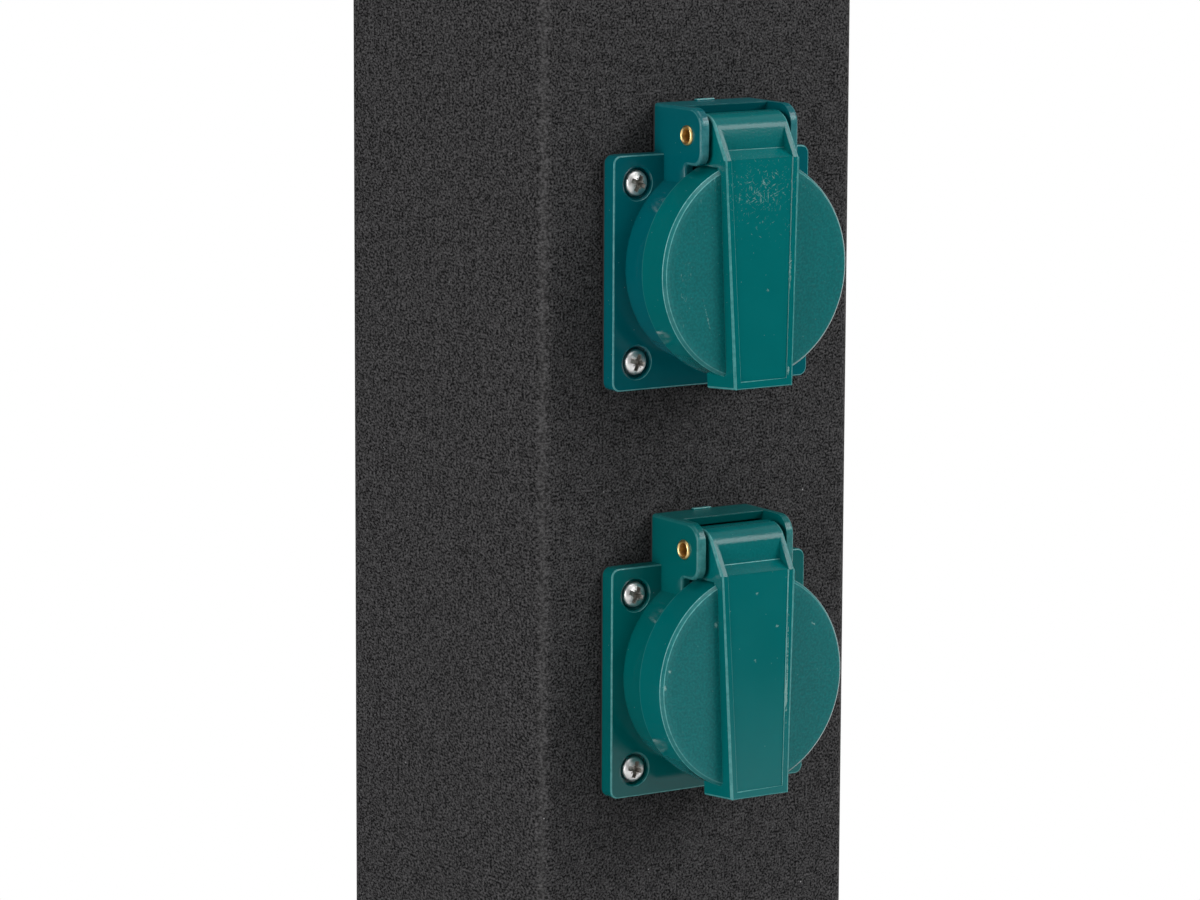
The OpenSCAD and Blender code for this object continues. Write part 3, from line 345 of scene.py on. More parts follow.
# Screws of the case: stainless pan heads with a cross recess, two in each side of the foot
# and one in each side of the cap. Cold headed, so the dome is smooth and the recess crisp.
def turned(profile, steps):
    """A shape turned about Z from a list of radius and height."""
    bm = bmesh.new()
    ring = [bm.verts.new((r, 0, z)) for r, z in profile]
    edges = [bm.edges.new(pair) for pair in zip(ring, ring[1:] + ring[:1])]
    bmesh.ops.spin(
        bm, geom=ring + edges, cent=(0, 0, 0), axis=(0, 0, 1), dvec=(0, 0, 0),
        angle=2 * math.pi, steps=steps, use_merge=True, use_duplicate=False)
    bmesh.ops.remove_doubles(bm, verts=bm.verts, dist=0.0005)
    bmesh.ops.dissolve_degenerate(bm, edges=bm.edges, dist=0.0005)
    bmesh.ops.recalc_face_normals(bm, faces=bm.faces)
    return bm


def turn_z(bm, degrees):
    """Turns a shape about Z."""
    turn = Matrix.Rotation(math.radians(degrees), 3, "Z")
    bmesh.ops.rotate(bm, cent=(0, 0, 0), matrix=turn, verts=bm.verts)


def pan_screw(head_r, head_h, shank_r, length, turn):
    """A pan-head screw along Z with its seat at zero and its cross turned by some degrees.
    The faces of the cross and of the four ticks between its arms have material index 1, for a darker finish
    that is painted shade in the recess."""
    dome = (0, 1), (0.34, 0.975), (0.62, 0.88), (0.84, 0.69), (0.96, 0.44), (1, 0.2), (0.985, 0)
    shank = [(shank_r, 0), (shank_r, 0.4 - length), (shank_r * 0.6, -length), (0, -length)]
    screw = turned([(head_r * r, head_h * z) for r, z in dome] + shank, 48)
    low, high, long, wide, taper = 0.05 * head_h, 1.3 * head_h, 0.74 * head_r, 0.2 * head_r, 0.6
    recess = block((-long, -wide, low), (long, wide, high))
    across = block((-wide, -long, low), (wide, long, high))
    for arm in (recess, across):
        for vert in arm.verts:
            if vert.co.z < head_h:
                vert.co.x *= taper
                vert.co.y *= taper
    recess = join(recess, across)
    low, long, wide = 0.84 * head_h, 0.46 * head_r, 0.05 * head_r
    for spoke in (45, 135):
        tick = block((-long, -wide, low), (long, wide, PAST))
        turn_z(tick, spoke)
        recess = join(recess, tick)
    # Marks the recess faces for the darker finish: painted shade.
    painted_recess_shade = recess.faces.layers.float.new("painted_recess_shade")
    for face in recess.faces:
        face[painted_recess_shade] = 1
    screw = cut(screw, recess)
    painted_recess_shade = screw.faces.layers.float["painted_recess_shade"]
    for face in screw.faces:
        face.material_index = int(face[painted_recess_shade] > 0.5)
    turn_z(screw, turn)
    return screw


def gather(shapes):
    """Several closed shapes as one, each with its own place."""
    whole = bmesh.new()
    for shape, place in shapes:
        bmesh.ops.transform(shape, matrix=place, verts=shape.verts)
        part = bpy.data.meshes.new("part")
        shape.to_mesh(part)
        shape.free()
        whole.from_mesh(part)
        bpy.data.meshes.remove(part)
    return whole


def mottled(name, dark, pale, grain_mm, gloss, dull, values):
    """A finish that drifts between two close tones, and between two roughnesses with them."""
    finish, _, shader, place = new_finish(name)
    drift = ramp(noise(place, grain_mm, Detail=3.0), 0.3, 0.7)
    set_sockets(shader, {
        "Base Color": tint(drift, linear(dark), pale),
        "Roughness": ramp(drift, low=dull, high=gloss), **values})
    return finish


# Stainless steel: a bright bare metal with faint drawing marks and a slightly uneven gloss.
stainless = mottled("stainless_steel", "#EAE9E7", "#F6F5F3", 1.2, 0.34, 0.46, {"Metallic": 1.0})
# Recess steel: a dull grey-brown for the faces of the cross recess, painted shade where little light gets in.
recess_shade_steel = mottled(
    "stainless_steel_painted_recess_shade", "#B5B1AB", "#E6E2DC", 0.5, 0.45, 0.6, {"Metallic": 1.0})

CASE_HEAD_R, CASE_HEAD_H, FOOT_SCREW_L, CAP_SCREW_L = 4, 3.2, 7.3, 6.3


def case_screw(x, y, z, length, turn):
    """A screw in the left or the right side of the post, x being -1 or 1, and its place."""
    screw = pan_screw(CASE_HEAD_R, CASE_HEAD_H, CASE_SHANK_R, length, turn)
    return screw, Matrix.Translation((x * half, y, z)) @ Matrix.Rotation(math.radians(90 * x), 4, "Y")


# No two crosses stand at the same angle, as screws come to rest.
foot_screws = [
    case_screw(x, y, FOOT_SCREW_Z, FOOT_SCREW_L, 20 + 35 * x + 3 * y)
    for x in (-1, 1) for y in (-FOOT_SCREW_Y, FOOT_SCREW_Y)]
cap_screws = [case_screw(x, 0, CAP_SCREW_Z, CAP_SCREW_L, 50 + 25 * x) for x in (-1, 1)]
for name, screws in (("foot_screws", foot_screws), ("cap_screws", cap_screws)):
    keep(f"{name}_steel", gather(screws), stainless, "post", "steel", [name], second=recess_shade_steel)

# Socket housings: one moulding each, with a square flange, a round collar, a cup behind the
# panel and a hood with two cheeks that hold the hinge. Green ABS from a polished tool, which is
# sand blasted where it forms the top and the fronts of the hood.
# Green ABS, moulded: a deep blue green with a clear gloss, a dull grit where the tool was blasted, pale edges
# that are partly rubbed and partly a painted highlight, fine dust grains and scuffs. An attribute marks how
# pale the faces along rounded edges are made, and the blasted attribute those with grit. The grit is drawn
# coarser than the real one, so that it still shows from a metre away.
def green_abs(name, dark, pale, scuffs):
    """The moulded green, with scuffs as (centre, radii, turn in degrees, strength) in mm."""
    finish, tree, shader, place = new_finish(name)
    flow_mm, sand_mm, speck_mm, chip_mm, nick_mm = 14, 0.55, 2.4, 1.3, 0.3
    flow = noise(place, flow_mm, Detail=3.0)
    sand = noise(place, sand_mm, Detail=2.0)
    chips = noise(place, chip_mm, Detail=4.0, Roughness=0.65)
    blasted = attribute(tree, "blasted")
    colour = tint(flow, linear(dark), pale)
    for end, tone in ((0.35, "#004A4C"), (0.65, "#0C8283")):
        grit = calc("MULTIPLY", blasted, ramp(sand, 0.5, end, high=0.3))
        colour = tint(grit, colour, tone)
    # Pale tint along the marked edges: rubbed plastic, and painted highlights where the lamps catch the
    # rounded edges.
    wear_and_highlight_tint = ramp(chips, 0.35, 0.65, 0.24, 0.48)
    wear_and_highlight_tint = calc("MULTIPLY", attribute(tree, "wear_and_highlight"), wear_and_highlight_tint)
    colour = tint(wear_and_highlight_tint, colour, "#84D3D2")
    grains = ramp(from_points(place, speck_mm), 0.03, 0.06, 0.3, 0.0)
    colour = tint(grains, colour, "#8DB5B0")
    nicks = 0.0
    for turn in (-52, 8, 64):
        along = add_node(tree, "ShaderNodeMapping", {
            "Vector": place, "Rotation": (0, math.radians(turn), 0), "Scale": (1, 1, 5)},
            vector_type="TEXTURE").outputs[0]
        strokes = noise(along, nick_mm, Detail=2.0, Roughness=0.6)
        nicks = calc("MAXIMUM", nicks, strokes)
    marks = 0.0
    for centre, radii, turn, strength in scuffs:
        spot = add_node(tree, "ShaderNodeMapping", {
            "Vector": place, "Location": [c * MM for c in centre],
            "Rotation": (0, math.radians(turn), 0), "Scale": [r * MM for r in radii]},
            vector_type="TEXTURE").outputs[0]
        spot = add_node(tree, "ShaderNodeTexGradient", {"Vector": spot}, gradient_type="SPHERICAL").outputs[1]
        marks = calc("MAXIMUM", marks, calc("MULTIPLY", spot, strength))
    marks = ramp(calc("ADD", marks, nicks), 0.84, 1.0, high=0.6)
    gloss = ramp(flow, 0.3, 0.7, 0.12, 0.17)
    depth = ramp(blasted, low=0.03, high=0.8)
    bump = add_node(tree, "ShaderNodeBump", {"Height": sand, "Strength": depth, "Distance": 0.12 * MM})
    set_sockets(shader, {
        "Base Color": tint(marks, colour, "#9CC2BB"),
        "Roughness": ramp(blasted, low=gloss, high=0.32),
        "Normal": bump.outputs[0], "IOR": 1.5, "Specular IOR Level": 0.3})
    return finish


def pull(bm, face, way):
    """Makes a closed shape of a face by extruding it some way."""
    made = bmesh.ops.extrude_face_region(bm, geom=[face])["geom"]
    bmesh.ops.translate(bm, verts=[v for v in made if isinstance(v, bmesh.types.BMVert)], vec=way)
    bmesh.ops.recalc_face_normals(bm, faces=bm.faces)


def prism(outline, half_w):
    """Extrudes an outline of reach and height across the socket's width."""
    bm = bmesh.new()
    face = bm.faces.new([bm.verts.new((-half_w, up, reach)) for reach, up in outline])
    pull(bm, face, (2 * half_w, 0, 0))
    return bm


def corner(reach, up):
    """A test for the edges across the width at one reach and height."""
    return lambda e: (runs_along(0)(e) and abs(e.verts[0].co.z - reach) < CLOSE
                      and abs(e.verts[0].co.y - up) < CLOSE)


def on_front(h):
    """The place of a socket, drawn as x right, y up and z outwards, on the post's face."""
    return Matrix.Translation((0, -half, h)) @ Matrix.Rotation(math.radians(90), 4, "X")


def keep_on(side, node, made, bm, finish, slot, body="post", **more):
    """Keeps a piece of the upper or the lower socket. Its name ends with how it is made."""
    return keep(f"{side}_{node}_{made}", bm, finish, body, slot, [f"{side}_{node}"],
                on_front(SOCKETS[side]), **more)


def drum(profile, steps=96):
    """A ring turned about the collar's axis from a list of radius and reach."""
    ring = turned(profile, steps)
    bmesh.ops.translate(ring, verts=ring.verts, vec=(0, DRUM_RISE, 0))
    return ring


FLANGE_HALF, FLANGE_REAR, FLANGE_FRONT, FLANGE_CORNER, FLANGE_EDGE = 25, 0.8, 4.4, 1.8, 0.32
COUNTERBORE_R, COUNTERBORE_FLOOR, SCREW_HOLE_R = 3.4, 2.9, 1.9
LIP, LIP_DEPTH, LIP_EDGE, DIAGONAL = 0.28, 0.12, 0.14, 1.42
COLLAR_R, COLLAR_REACH, RECESS_R, RECESS_FLOOR = 22, 17, 19.5, -0.5
CUP_R, CUP_BORE_R, CUP_REAR = 21.8, 20.3, -22
HOOD_HALF, HOOD_TOP, HOOD_BOTTOM, HOOD_FOOT, HOOD_EDGE = 12.4, 35.4, 23.2, 12.2, 0.8
CHEEK_T, CHEEK_REACH, NOTCH_REACH, BACK_WALL_FRONT = 2, 18.3, 12.2, 2.6
TOP_WALL_LOW, TOP_WALL_REACH, TOP_WALL_SLANT = 33.6, 9.6, 0.8
PIN_REACH, PIN_UP, PIN_R = 13.1, 29.5, 1.7
HALF_BLASTED, SOFT_EDGE = 0.4, ((0, 0.4), (0.12, 0.12), (0.4, 0))


def flange():
    """The square flange. Each screw has a counterbore with a small countersunk lip, which is made pale on its
    lower right as a painted highlight."""
    sheet = block((-FLANGE_HALF, -FLANGE_HALF, FLANGE_REAR), (FLANGE_HALF, FLANGE_HALF, FLANGE_FRONT))
    round_edges(sheet, runs_along(2), FLANGE_CORNER, 5)
    round_edges(sheet, level(2, FLANGE_FRONT), FLANGE_EDGE, 3, wear_and_highlight=0.8)
    lip_r = COUNTERBORE_R + LIP
    for x, y in SCREW_SPOTS:
        sink = turned([
            (0, COUNTERBORE_FLOOR), (COUNTERBORE_R, COUNTERBORE_FLOOR),
            (COUNTERBORE_R, FLANGE_FRONT - LIP), (lip_r, FLANGE_FRONT - LIP_DEPTH),
            (lip_r + LIP_EDGE, FLANGE_FRONT + CLOSE), (lip_r + LIP_EDGE, PAST), (0, PAST)], 64)
        wear_and_highlight_layer = sink.faces.layers.float.new("wear_and_highlight")
        # A pale crescent on the lip's lower right: painted highlight.
        for face in sink.faces:
            middle = face.calc_center_median()
            if FLANGE_FRONT - LIP_DEPTH < middle.z < FLANGE_FRONT:
                face[wear_and_highlight_layer] = max(0, (middle.x - middle.y) / (DIAGONAL * COUNTERBORE_R))
        bmesh.ops.translate(sink, verts=sink.verts, vec=(x, y, 0))
        sheet = cut(sheet, sink)
        sheet = drill(sheet, (x, y, -1), (x, y, PAST), SCREW_HOLE_R, 32)
    return sheet


def hood():
    """The hinge hood: two cheeks, a back wall and a top wall whose front leans outwards, so that
    only a narrow gap is left above the knuckle."""
    # The tools that cut it open end in the air, at these heights and this reach.
    inner, low, high, ahead = HOOD_HALF - CHEEK_T, 20, 50, 30

    def side_outline(e):
        """A test for the edges round both sides, apart from the rear ones."""
        return (abs(e.verts[0].co.x) > HOOD_HALF - 0.1
                and abs(e.verts[0].co.x - e.verts[1].co.x) < CLOSE
                and max(v.co.z for v in e.verts) > FLANGE_REAR + 0.1)

    def mouth(e):
        """A test for the inner edges of the cheeks, where the lid's arm comes out."""
        return (all(abs(abs(v.co.x) - inner) < CLOSE for v in e.verts) and e.calc_face_angle(0) > 0.8
                and min(v.co.z for v in e.verts) > TOP_WALL_REACH - 0.05
                and min(v.co.y for v in e.verts) > HOOD_BOTTOM - 0.05)

    shell = prism([
        (FLANGE_REAR, HOOD_FOOT), (NOTCH_REACH, HOOD_FOOT), (NOTCH_REACH, HOOD_BOTTOM),
        (CHEEK_REACH, HOOD_BOTTOM), (CHEEK_REACH, HOOD_TOP), (FLANGE_REAR, HOOD_TOP)], HOOD_HALF)
    round_edges(shell, corner(CHEEK_REACH, HOOD_TOP), 4, 8)
    round_edges(shell, corner(CHEEK_REACH, HOOD_BOTTOM), 3, 7)
    round_edges(shell, corner(NOTCH_REACH, HOOD_BOTTOM), 0.7, 4)
    round_edges(shell, side_outline, HOOD_EDGE, 4, wear_and_highlight=0.4)
    # Faces that face forward, the cheeks' fronts among them, get a pale tint as a painted highlight; rounded
    # edges that face up or lie near the flange get less of it.
    wear_and_highlight_layer = shell.faces.layers.float["wear_and_highlight"]
    shell.normal_update()
    for face in shell.faces:
        if face.normal.y > 0.3 or face.calc_center_median().z < NOTCH_REACH + 0.5:
            face[wear_and_highlight_layer] *= 0.3
        elif face.normal.z > 0.6:
            face[wear_and_highlight_layer] = 0.4
    cavity = block((-inner, 0, BACK_WALL_FRONT), (inner, TOP_WALL_LOW, ahead))
    shell = cut(shell, cavity)
    wall_foot = TOP_WALL_REACH - TOP_WALL_SLANT
    slot = prism([
        (wall_foot, low), (wall_foot, TOP_WALL_LOW), (TOP_WALL_REACH, HOOD_TOP), (TOP_WALL_REACH, high),
        (ahead, high), (ahead, low)], inner)
    shell = cut(shell, slot)
    round_edges(shell, corner(TOP_WALL_REACH, HOOD_TOP), 0.3, 3, wear_and_highlight=0.4)
    round_edges(shell, mouth, 0.45, 3, wear_and_highlight=0.3)
    return shell


def housing():
    """The whole moulding, with the stub of the gate on top of the hood."""
    collar = drum([
        (CUP_R, CUP_REAR), (CUP_R, FLANGE_REAR), (COLLAR_R, FLANGE_REAR),
        *[(COLLAR_R - r, COLLAR_REACH - z) for r, z in SOFT_EDGE],
        (RECESS_R + 0.5, COLLAR_REACH), (RECESS_R + 0.15, COLLAR_REACH - 0.15),
        (RECESS_R, COLLAR_REACH - 0.5), (RECESS_R, RECESS_FLOOR), (CUP_BORE_R, RECESS_FLOOR),
        (CUP_BORE_R, CUP_REAR)])
    shell = join(flange(), hood())
    rear, front = CUP_REAR - PAST, CHEEK_REACH + PAST
    shell = drill(shell, (0, DRUM_RISE, rear), (0, DRUM_RISE, front), RECESS_R + 1, 96)
    shell = join(shell, collar)
    wide = HOOD_HALF + PAST
    shell = drill(shell, (-wide, PIN_UP, PIN_REACH), (wide, PIN_UP, PIN_REACH), PIN_R + 0.02, 32)
    gate = block((-2.4, HOOD_TOP - 0.3, FLANGE_REAR), (2.2, HOOD_TOP + 0.45, FLANGE_REAR + 1))
    round_edges(gate, lambda e: all(v.co.y > HOOD_TOP for v in e.verts), 0.25, 2, wear_and_highlight=1.0)
    shell = join(shell, gate)
    blasted = shell.faces.layers.float.new("blasted")
    shell.normal_update()
    for face in shell.faces:
        on_cheek = face.normal.z > 0.2 and face.calc_center_median().z > NOTCH_REACH
        face[blasted] = 1.0 if face.normal.y > 0.9 else HALF_BLASTED * on_cheek
    return shell


# The two housings come from different batches: the upper one is a little bluer.
HOUSING_GREEN = {"upper": ("#005860", "#006068"), "lower": ("#005B5B", "#006363")}
for side in SOCKETS:
    finish = green_abs(f"moulded_abs_green_{side}_housing", *HOUSING_GREEN[side], [])
    keep_on(side, "housing", "moulded", housing(), finish, "socket_green")

# Flange screws: four small stainless pan heads that hold each housing to the post. Their
# heads sit in counterbores and stand a little proud of the flange.
FLANGE_HEAD_R, FLANGE_HEAD_H, FLANGE_SHANK_R, FLANGE_SCREW_L = 2.85, 2.1, 1.6, 9
for side, h in SOCKETS.items():
    screws = []
    for x, y in SCREW_SPOTS:
        turn = 17 + (29 * x + 41 * y) / SCREW_AT + h
        screw = pan_screw(FLANGE_HEAD_R, FLANGE_HEAD_H, FLANGE_SHANK_R, FLANGE_SCREW_L, turn)
        screws.append((screw, Matrix.Translation((x, y, COUNTERBORE_FLOOR))))
    keep_on(side, "flange_screws", "steel", gather(screws), stainless, "steel", second=recess_shade_steel)

# Hinge pins: hollow brass rivets through both cheeks and the lid's knuckle. The ends are
# rolled over into a round rim, which keeps them in the cheeks.
PIN_END, PIN_RIM_R, PIN_RIM_T, PIN_BORE_R, PIN_MOUTH = 12.42, 2.17, 0.5, 1.2, 0.31
# Brass, turned: a warm yellow metal, bright on the rolled rim, with browner tarnished spots.
brass = mottled("brass_turned", "#DDB873", "#F2D79A", 2.0, 0.32, 0.42, {"Metallic": 1.0})
# Oxidised brass: the dull brown skin inside the bore, where nothing rubs it bright.
brown = mottled("brass_oxidised", "#7A4E14", "#A87428", 0.8, 0.45, 0.6, {})
for side in SOCKETS:
    rise = (0, -0.7), (0.04, -0.3), (0.16, 0), (0.3, 0.24), (0.44, PIN_RIM_T - 0.07), (0.6, PIN_RIM_T)
    fall = (0.22, 0.44), (0.06, 0.3), (0, 0.13), (0.04, 0)
    rim = [(PIN_BORE_R + r, PIN_END + z) for r, z in rise]
    rim += [(PIN_RIM_R - r, PIN_END + z) for r, z in fall] + [(PIN_R, PIN_END)]
    pin = turned(rim + [(r, -z) for r, z in reversed(rim)], 48)
    for face in pin.faces:
        in_bore = all(math.hypot(v.co.x, v.co.y) < PIN_BORE_R + PIN_MOUTH for v in face.verts)
        face.material_index = int(in_bore)
    lie = Matrix.Translation((0, PIN_UP, PIN_REACH)) @ Matrix.Rotation(math.radians(90), 4, "Y")
    bmesh.ops.transform(pin, matrix=lie, verts=pin.verts)
    keep_on(side, "hinge_pin", "brass", pin, brass, "brass", second=brown)

# Lids: a dished disc with a skirt that laps over the collar, a raised tapering rib with a
# finger tab, and an arm between two fins up to the hinge knuckle. One moulding in green ABS,
# from a tool that is blasted where it forms the flat of the disc and the arm.
LID_R, SKIRT_IN_R, LID_REACH, DISC_REAR, SKIRT_REAR, RIM = 23.4, 22.6, 21.1, 18.7, 12.6, 0.65
RIB_TOP_UP, RIB_LOW_UP, RIB_TOP_REACH, RIB_LOW_REACH = 24.8, -23.4, 22.9, 24.3
RIB_TOP_HALF, RIB_LOW_HALF, RIB_REAR, ARM_LOW = 9.4, 7.4, 19.9, 23.2
KNUCKLE_R, FIN_W, PANEL_BORDER, PANEL_DEPTH = 4.5, 1.5, 1.7, 0.25
HEAD_TOP, HEAD_FRONT, TAB_REAR, TAB_LOW, TAB_HIGH = 34.0, 17.59, 14.0, -24.2, -17.8
WEB_REACH, WEB_TOP, SHELF_UP = 19.4, 30.87, 26.55
POCKET_HALF, POCKET_R, POCKET_SLOT, LEG_ROOM = 4.4, 3.7, 11.3, 16.3
STEP_WEAR = {"upper": 0.4, "lower": 1.3}


def rib_half(up):
    """Half of the rib's width at a height."""
    share = min(1, (up - RIB_LOW_UP) / (RIB_TOP_UP - RIB_LOW_UP))
    return RIB_LOW_HALF + (RIB_TOP_HALF - RIB_LOW_HALF) * share


def rib_face(up):
    """Reach of the rib's face at a height."""
    return RIB_LOW_REACH + (RIB_TOP_REACH - RIB_LOW_REACH) * (up - RIB_LOW_UP) / (RIB_TOP_UP - RIB_LOW_UP)


def lid_arm():
    """The rib with its finger tab, and the arm with the knuckle, in one outline."""
    def long_edge(e):
        """A test for the front edges of both sides."""
        sides = [abs(f.normal.x) > 0.9 for f in e.link_faces]
        return (sorted(sides) == [False, True]
                and all(f.normal.z > 0.05 or abs(f.normal.x) > 0.9 for f in e.link_faces))

    knuckle_rear, knuckle_low = PIN_REACH - KNUCKLE_R, PIN_UP - KNUCKLE_R
    arm = prism([
        (knuckle_rear, HEAD_TOP), (HEAD_FRONT, HEAD_TOP), (RIB_TOP_REACH, RIB_TOP_UP),
        (RIB_LOW_REACH, RIB_LOW_UP), (TAB_REAR, TAB_LOW), (TAB_REAR, TAB_HIGH), (RIB_REAR, TAB_HIGH),
        (RIB_REAR, ARM_LOW), (SKIRT_REAR, ARM_LOW), (SKIRT_REAR, knuckle_low),
        (knuckle_rear, knuckle_low)], RIB_TOP_HALF)
    round_edges(arm, corner(knuckle_rear, HEAD_TOP), KNUCKLE_R - CLOSE, 8)
    round_edges(arm, corner(knuckle_rear, knuckle_low), 2.2, 5)
    round_edges(arm, corner(HEAD_FRONT, HEAD_TOP), KNUCKLE_R * math.tan(math.radians(30)), 8)
    bmesh.ops.bisect_plane(
        arm, geom=arm.verts[:] + arm.edges[:] + arm.faces[:], plane_co=(0, RIB_TOP_UP, 0),
        plane_no=(0, 1, 0))
    for vert in arm.verts:
        vert.co.x *= rib_half(vert.co.y) / RIB_TOP_HALF
    # The front edges of the rib and the fins get a strong pale tint, partly a painted highlight along them.
    round_edges(arm, long_edge, 0.5, 4, wear_and_highlight=0.75, clamp=False)
    round_edges(arm, corner(RIB_LOW_REACH, RIB_LOW_UP), 0.3, 2, wear_and_highlight=0.4)
    blasted = arm.faces.layers.float.new("blasted")
    for face in arm.faces:
        face[blasted] = HALF_BLASTED * (face.calc_center_median().y > RIB_TOP_UP)
    return arm


def lid_disc():
    """The disc with its bevelled rim and its skirt. Its pale edge tint, rubbed and partly a painted
    highlight, fades from the upper left to the lower right as painted light from the lamp on the left."""
    flat_r = LID_R - RIM
    disc = drum([
        (0, DISC_REAR), (SKIRT_IN_R, DISC_REAR), (SKIRT_IN_R, SKIRT_REAR), (LID_R - 0.15, SKIRT_REAR),
        (LID_R, SKIRT_REAR + 0.15), (LID_R, SKIRT_REAR + 0.4), (LID_R, LID_REACH - RIM),
        (flat_r, LID_REACH), (flat_r - 0.9, LID_REACH), (flat_r - 2.0, LID_REACH), (0, LID_REACH)], 128)
    round_edges(disc, level(2, LID_REACH - RIM), 0.12, 2, wear_and_highlight=1.6)
    round_edges(disc, lambda e: level(2, LID_REACH)(e) and e.calc_face_angle(0) > 0.5, 0.12, 2, wear_and_highlight=1.2)
    wear_and_highlight_layer, blasted = disc.faces.layers.float["wear_and_highlight"], disc.faces.layers.float.new("blasted")
    disc.normal_update()
    for face in disc.faces:
        middle = face.calc_center_median() - Vector((0, DRUM_RISE, 0))
        out = math.hypot(middle.x, middle.y)
        face[blasted] = float(face.normal.z > 0.9)
        # The rim's chamfer, the edge of the flat and the skirt's rear edge get a pale tint, partly a painted
        # highlight.
        if 0.3 < face.normal.z < 0.9 and face[wear_and_highlight_layer] == 0:
            face[wear_and_highlight_layer] = 0.25
        if face.normal.z > 0.9 and face[wear_and_highlight_layer] == 0:
            face[wear_and_highlight_layer] = 0.2 * max(0, 1 - (flat_r - out) / 2)
        if middle.z < SKIRT_REAR + 0.4 and out > LID_R - 0.1:
            face[wear_and_highlight_layer] = 0.2
        # Paler towards the upper left, where the left lamp is: painted highlight.
        face[wear_and_highlight_layer] *= 0.55 + 0.45 * (middle.y - middle.x) / (DIAGONAL * max(out, 1))
    return disc


def lid(side):
    """The whole moulding: the web between the fins and the panel in the rib are sunk, and the
    knuckle is hollow for the spring. The step round the panel is rubbed more on one lid."""
    def foot_of_rib(e):
        """A test for the inner corners between the rib and the disc."""
        return (not e.is_convex and level(2, LID_REACH)(e)
                and all(abs(abs(v.co.x) - rib_half(v.co.y)) < 0.05 for v in e.verts))

    def panel_step(e):
        """A test for the outer edges of the step round the panel."""
        return (e.is_convex and e.calc_face_angle(0) > 0.6
                and all(v.co.z > rib_face(v.co.y) - 0.06 and v.co.y < RIB_TOP_UP + 0.05
                        and abs(v.co.x) < rib_half(v.co.y) - PANEL_BORDER + 0.05 for v in e.verts))

    def shelf_edge(e):
        """A test for the edge where the shelf under the web meets the panel."""
        return (e.is_convex and runs_along(0)(e)
                and all(abs(v.co.y - RIB_TOP_UP) < 0.4 and v.co.z > 22 for v in e.verts))

    dish = rod((0, DRUM_RISE, 0), (0, DRUM_RISE, DISC_REAR + 0.5), SKIRT_IN_R + 0.4, segments=128)
    body = join(lid_disc(), cut(lid_arm(), dish))
    web = prism([
        (WEB_REACH, WEB_TOP), (WEB_REACH, SHELF_UP), (RIB_TOP_REACH + 0.3, RIB_TOP_UP - 0.15), (24.4, 25.8),
        (20.6, 31.9)], RIB_TOP_HALF - FIN_W)
    blasted = web.faces.layers.float.new("blasted")
    for face in web.faces:
        face[blasted] = HALF_BLASTED
    body = cut(body, web)
    panel = bmesh.new()
    low, high = RIB_LOW_UP + PANEL_BORDER, RIB_TOP_UP + 0.1
    sunk = [panel.verts.new((x * (rib_half(up) - PANEL_BORDER), up, rib_face(up) - PANEL_DEPTH))
            for x, up in ((-1, low), (1, low), (1, high), (-1, high))]
    pull(panel, panel.faces.new(sunk), (0, 0, 2))
    body = cut(body, panel)
    for half_w, radius in ((HOOD_HALF + PAST, PIN_R + 0.05), (POCKET_HALF, POCKET_R)):
        body = drill(body, (-half_w, PIN_UP, PIN_REACH), (half_w, PIN_UP, PIN_REACH), radius, 32)
    for rear, front, top in ((7, POCKET_SLOT, HEAD_TOP + PAST), (10, LEG_ROOM, PIN_UP)):
        room = block((-POCKET_HALF, DRUM_RISE, rear), (POCKET_HALF, top, front))
        body = cut(body, room)
    round_edges(body, foot_of_rib, 0.2, 2, wear_and_highlight=0.3)
    round_edges(body, lambda e: not e.is_convex and corner(WEB_REACH, SHELF_UP)(e), 0.12, 1, STEP_WEAR[side])
    # The step's left edges are pale on both lids, partly as a painted highlight towards the lamp on the left;
    # the right ones carry each lid's own wear.
    for right, wear_and_highlight in ((False, 1.0), (True, STEP_WEAR[side])):
        round_edges(
            body, lambda e: panel_step(e) and (min(v.co.x for v in e.verts) > 1) == right, 0.2, 1, wear_and_highlight)
    round_edges(body, shelf_edge, 0.15, 2, wear_and_highlight=0.9)
    return body


# Scuffs of each lid from handling: a patch of fine ones at the top of the upper rib, long ones
# down the ribs' right edges and small ones on the flats.
LID_SCUFFS = {
    "upper": [
        ((0, -63, 324), (32, 8, 22), 0, 0.25), ((0, -63, 325), (18, 5, 9), 0, 0.25),
        ((6.9, -63.3, 306.7), (0.5, 2, 8), 2, 0.45), ((6.2, -64, 286), (0.5, 2, 2), 2, 0.6),
        ((-12.4, -61.1, 298), (0.35, 1.5, 8), -16, 0.42), ((1.4, -63.4, 303.1), (1, 2, 1), 0, 0.3),
        ((-18, -61.1, 306), (5, 2, 19), 0, 0.21)],
    "lower": [
        ((7.2, -63.3, 220.5), (0.5, 2, 26), 2, 0.5), ((6.9, -63.5, 216), (0.5, 2, 7), 2, 0.7),
        ((4.8, -63, 230.9), (1.1, 2, 0.7), 20, 0.5), ((-0.3, -63, 238.4), (0.8, 2, 0.8), 0, 0.45),
        ((-0.8, -63.3, 223.9), (0.7, 2, 0.9), 0, 0.45), ((15.7, -61.1, 230), (1.2, 2, 0.5), 30, 0.5),
        ((-9.6, -61.1, 232.3), (0.8, 2, 1.2), 0, 0.5), ((-22.4, -61, 220), (0.8, 2, 1.2), 0, 0.55),
        ((-21.3, -61, 223.5), (0.8, 2, 0.9), 0, 0.5)]}
for side in SOCKETS:
    finish = green_abs(f"moulded_abs_green_{side}_lid", "#006263", "#006C6D", LID_SCUFFS[side])
    keep_on(side, "lid", "moulded", lid(side), finish, "socket_green", f"{side}_lid")

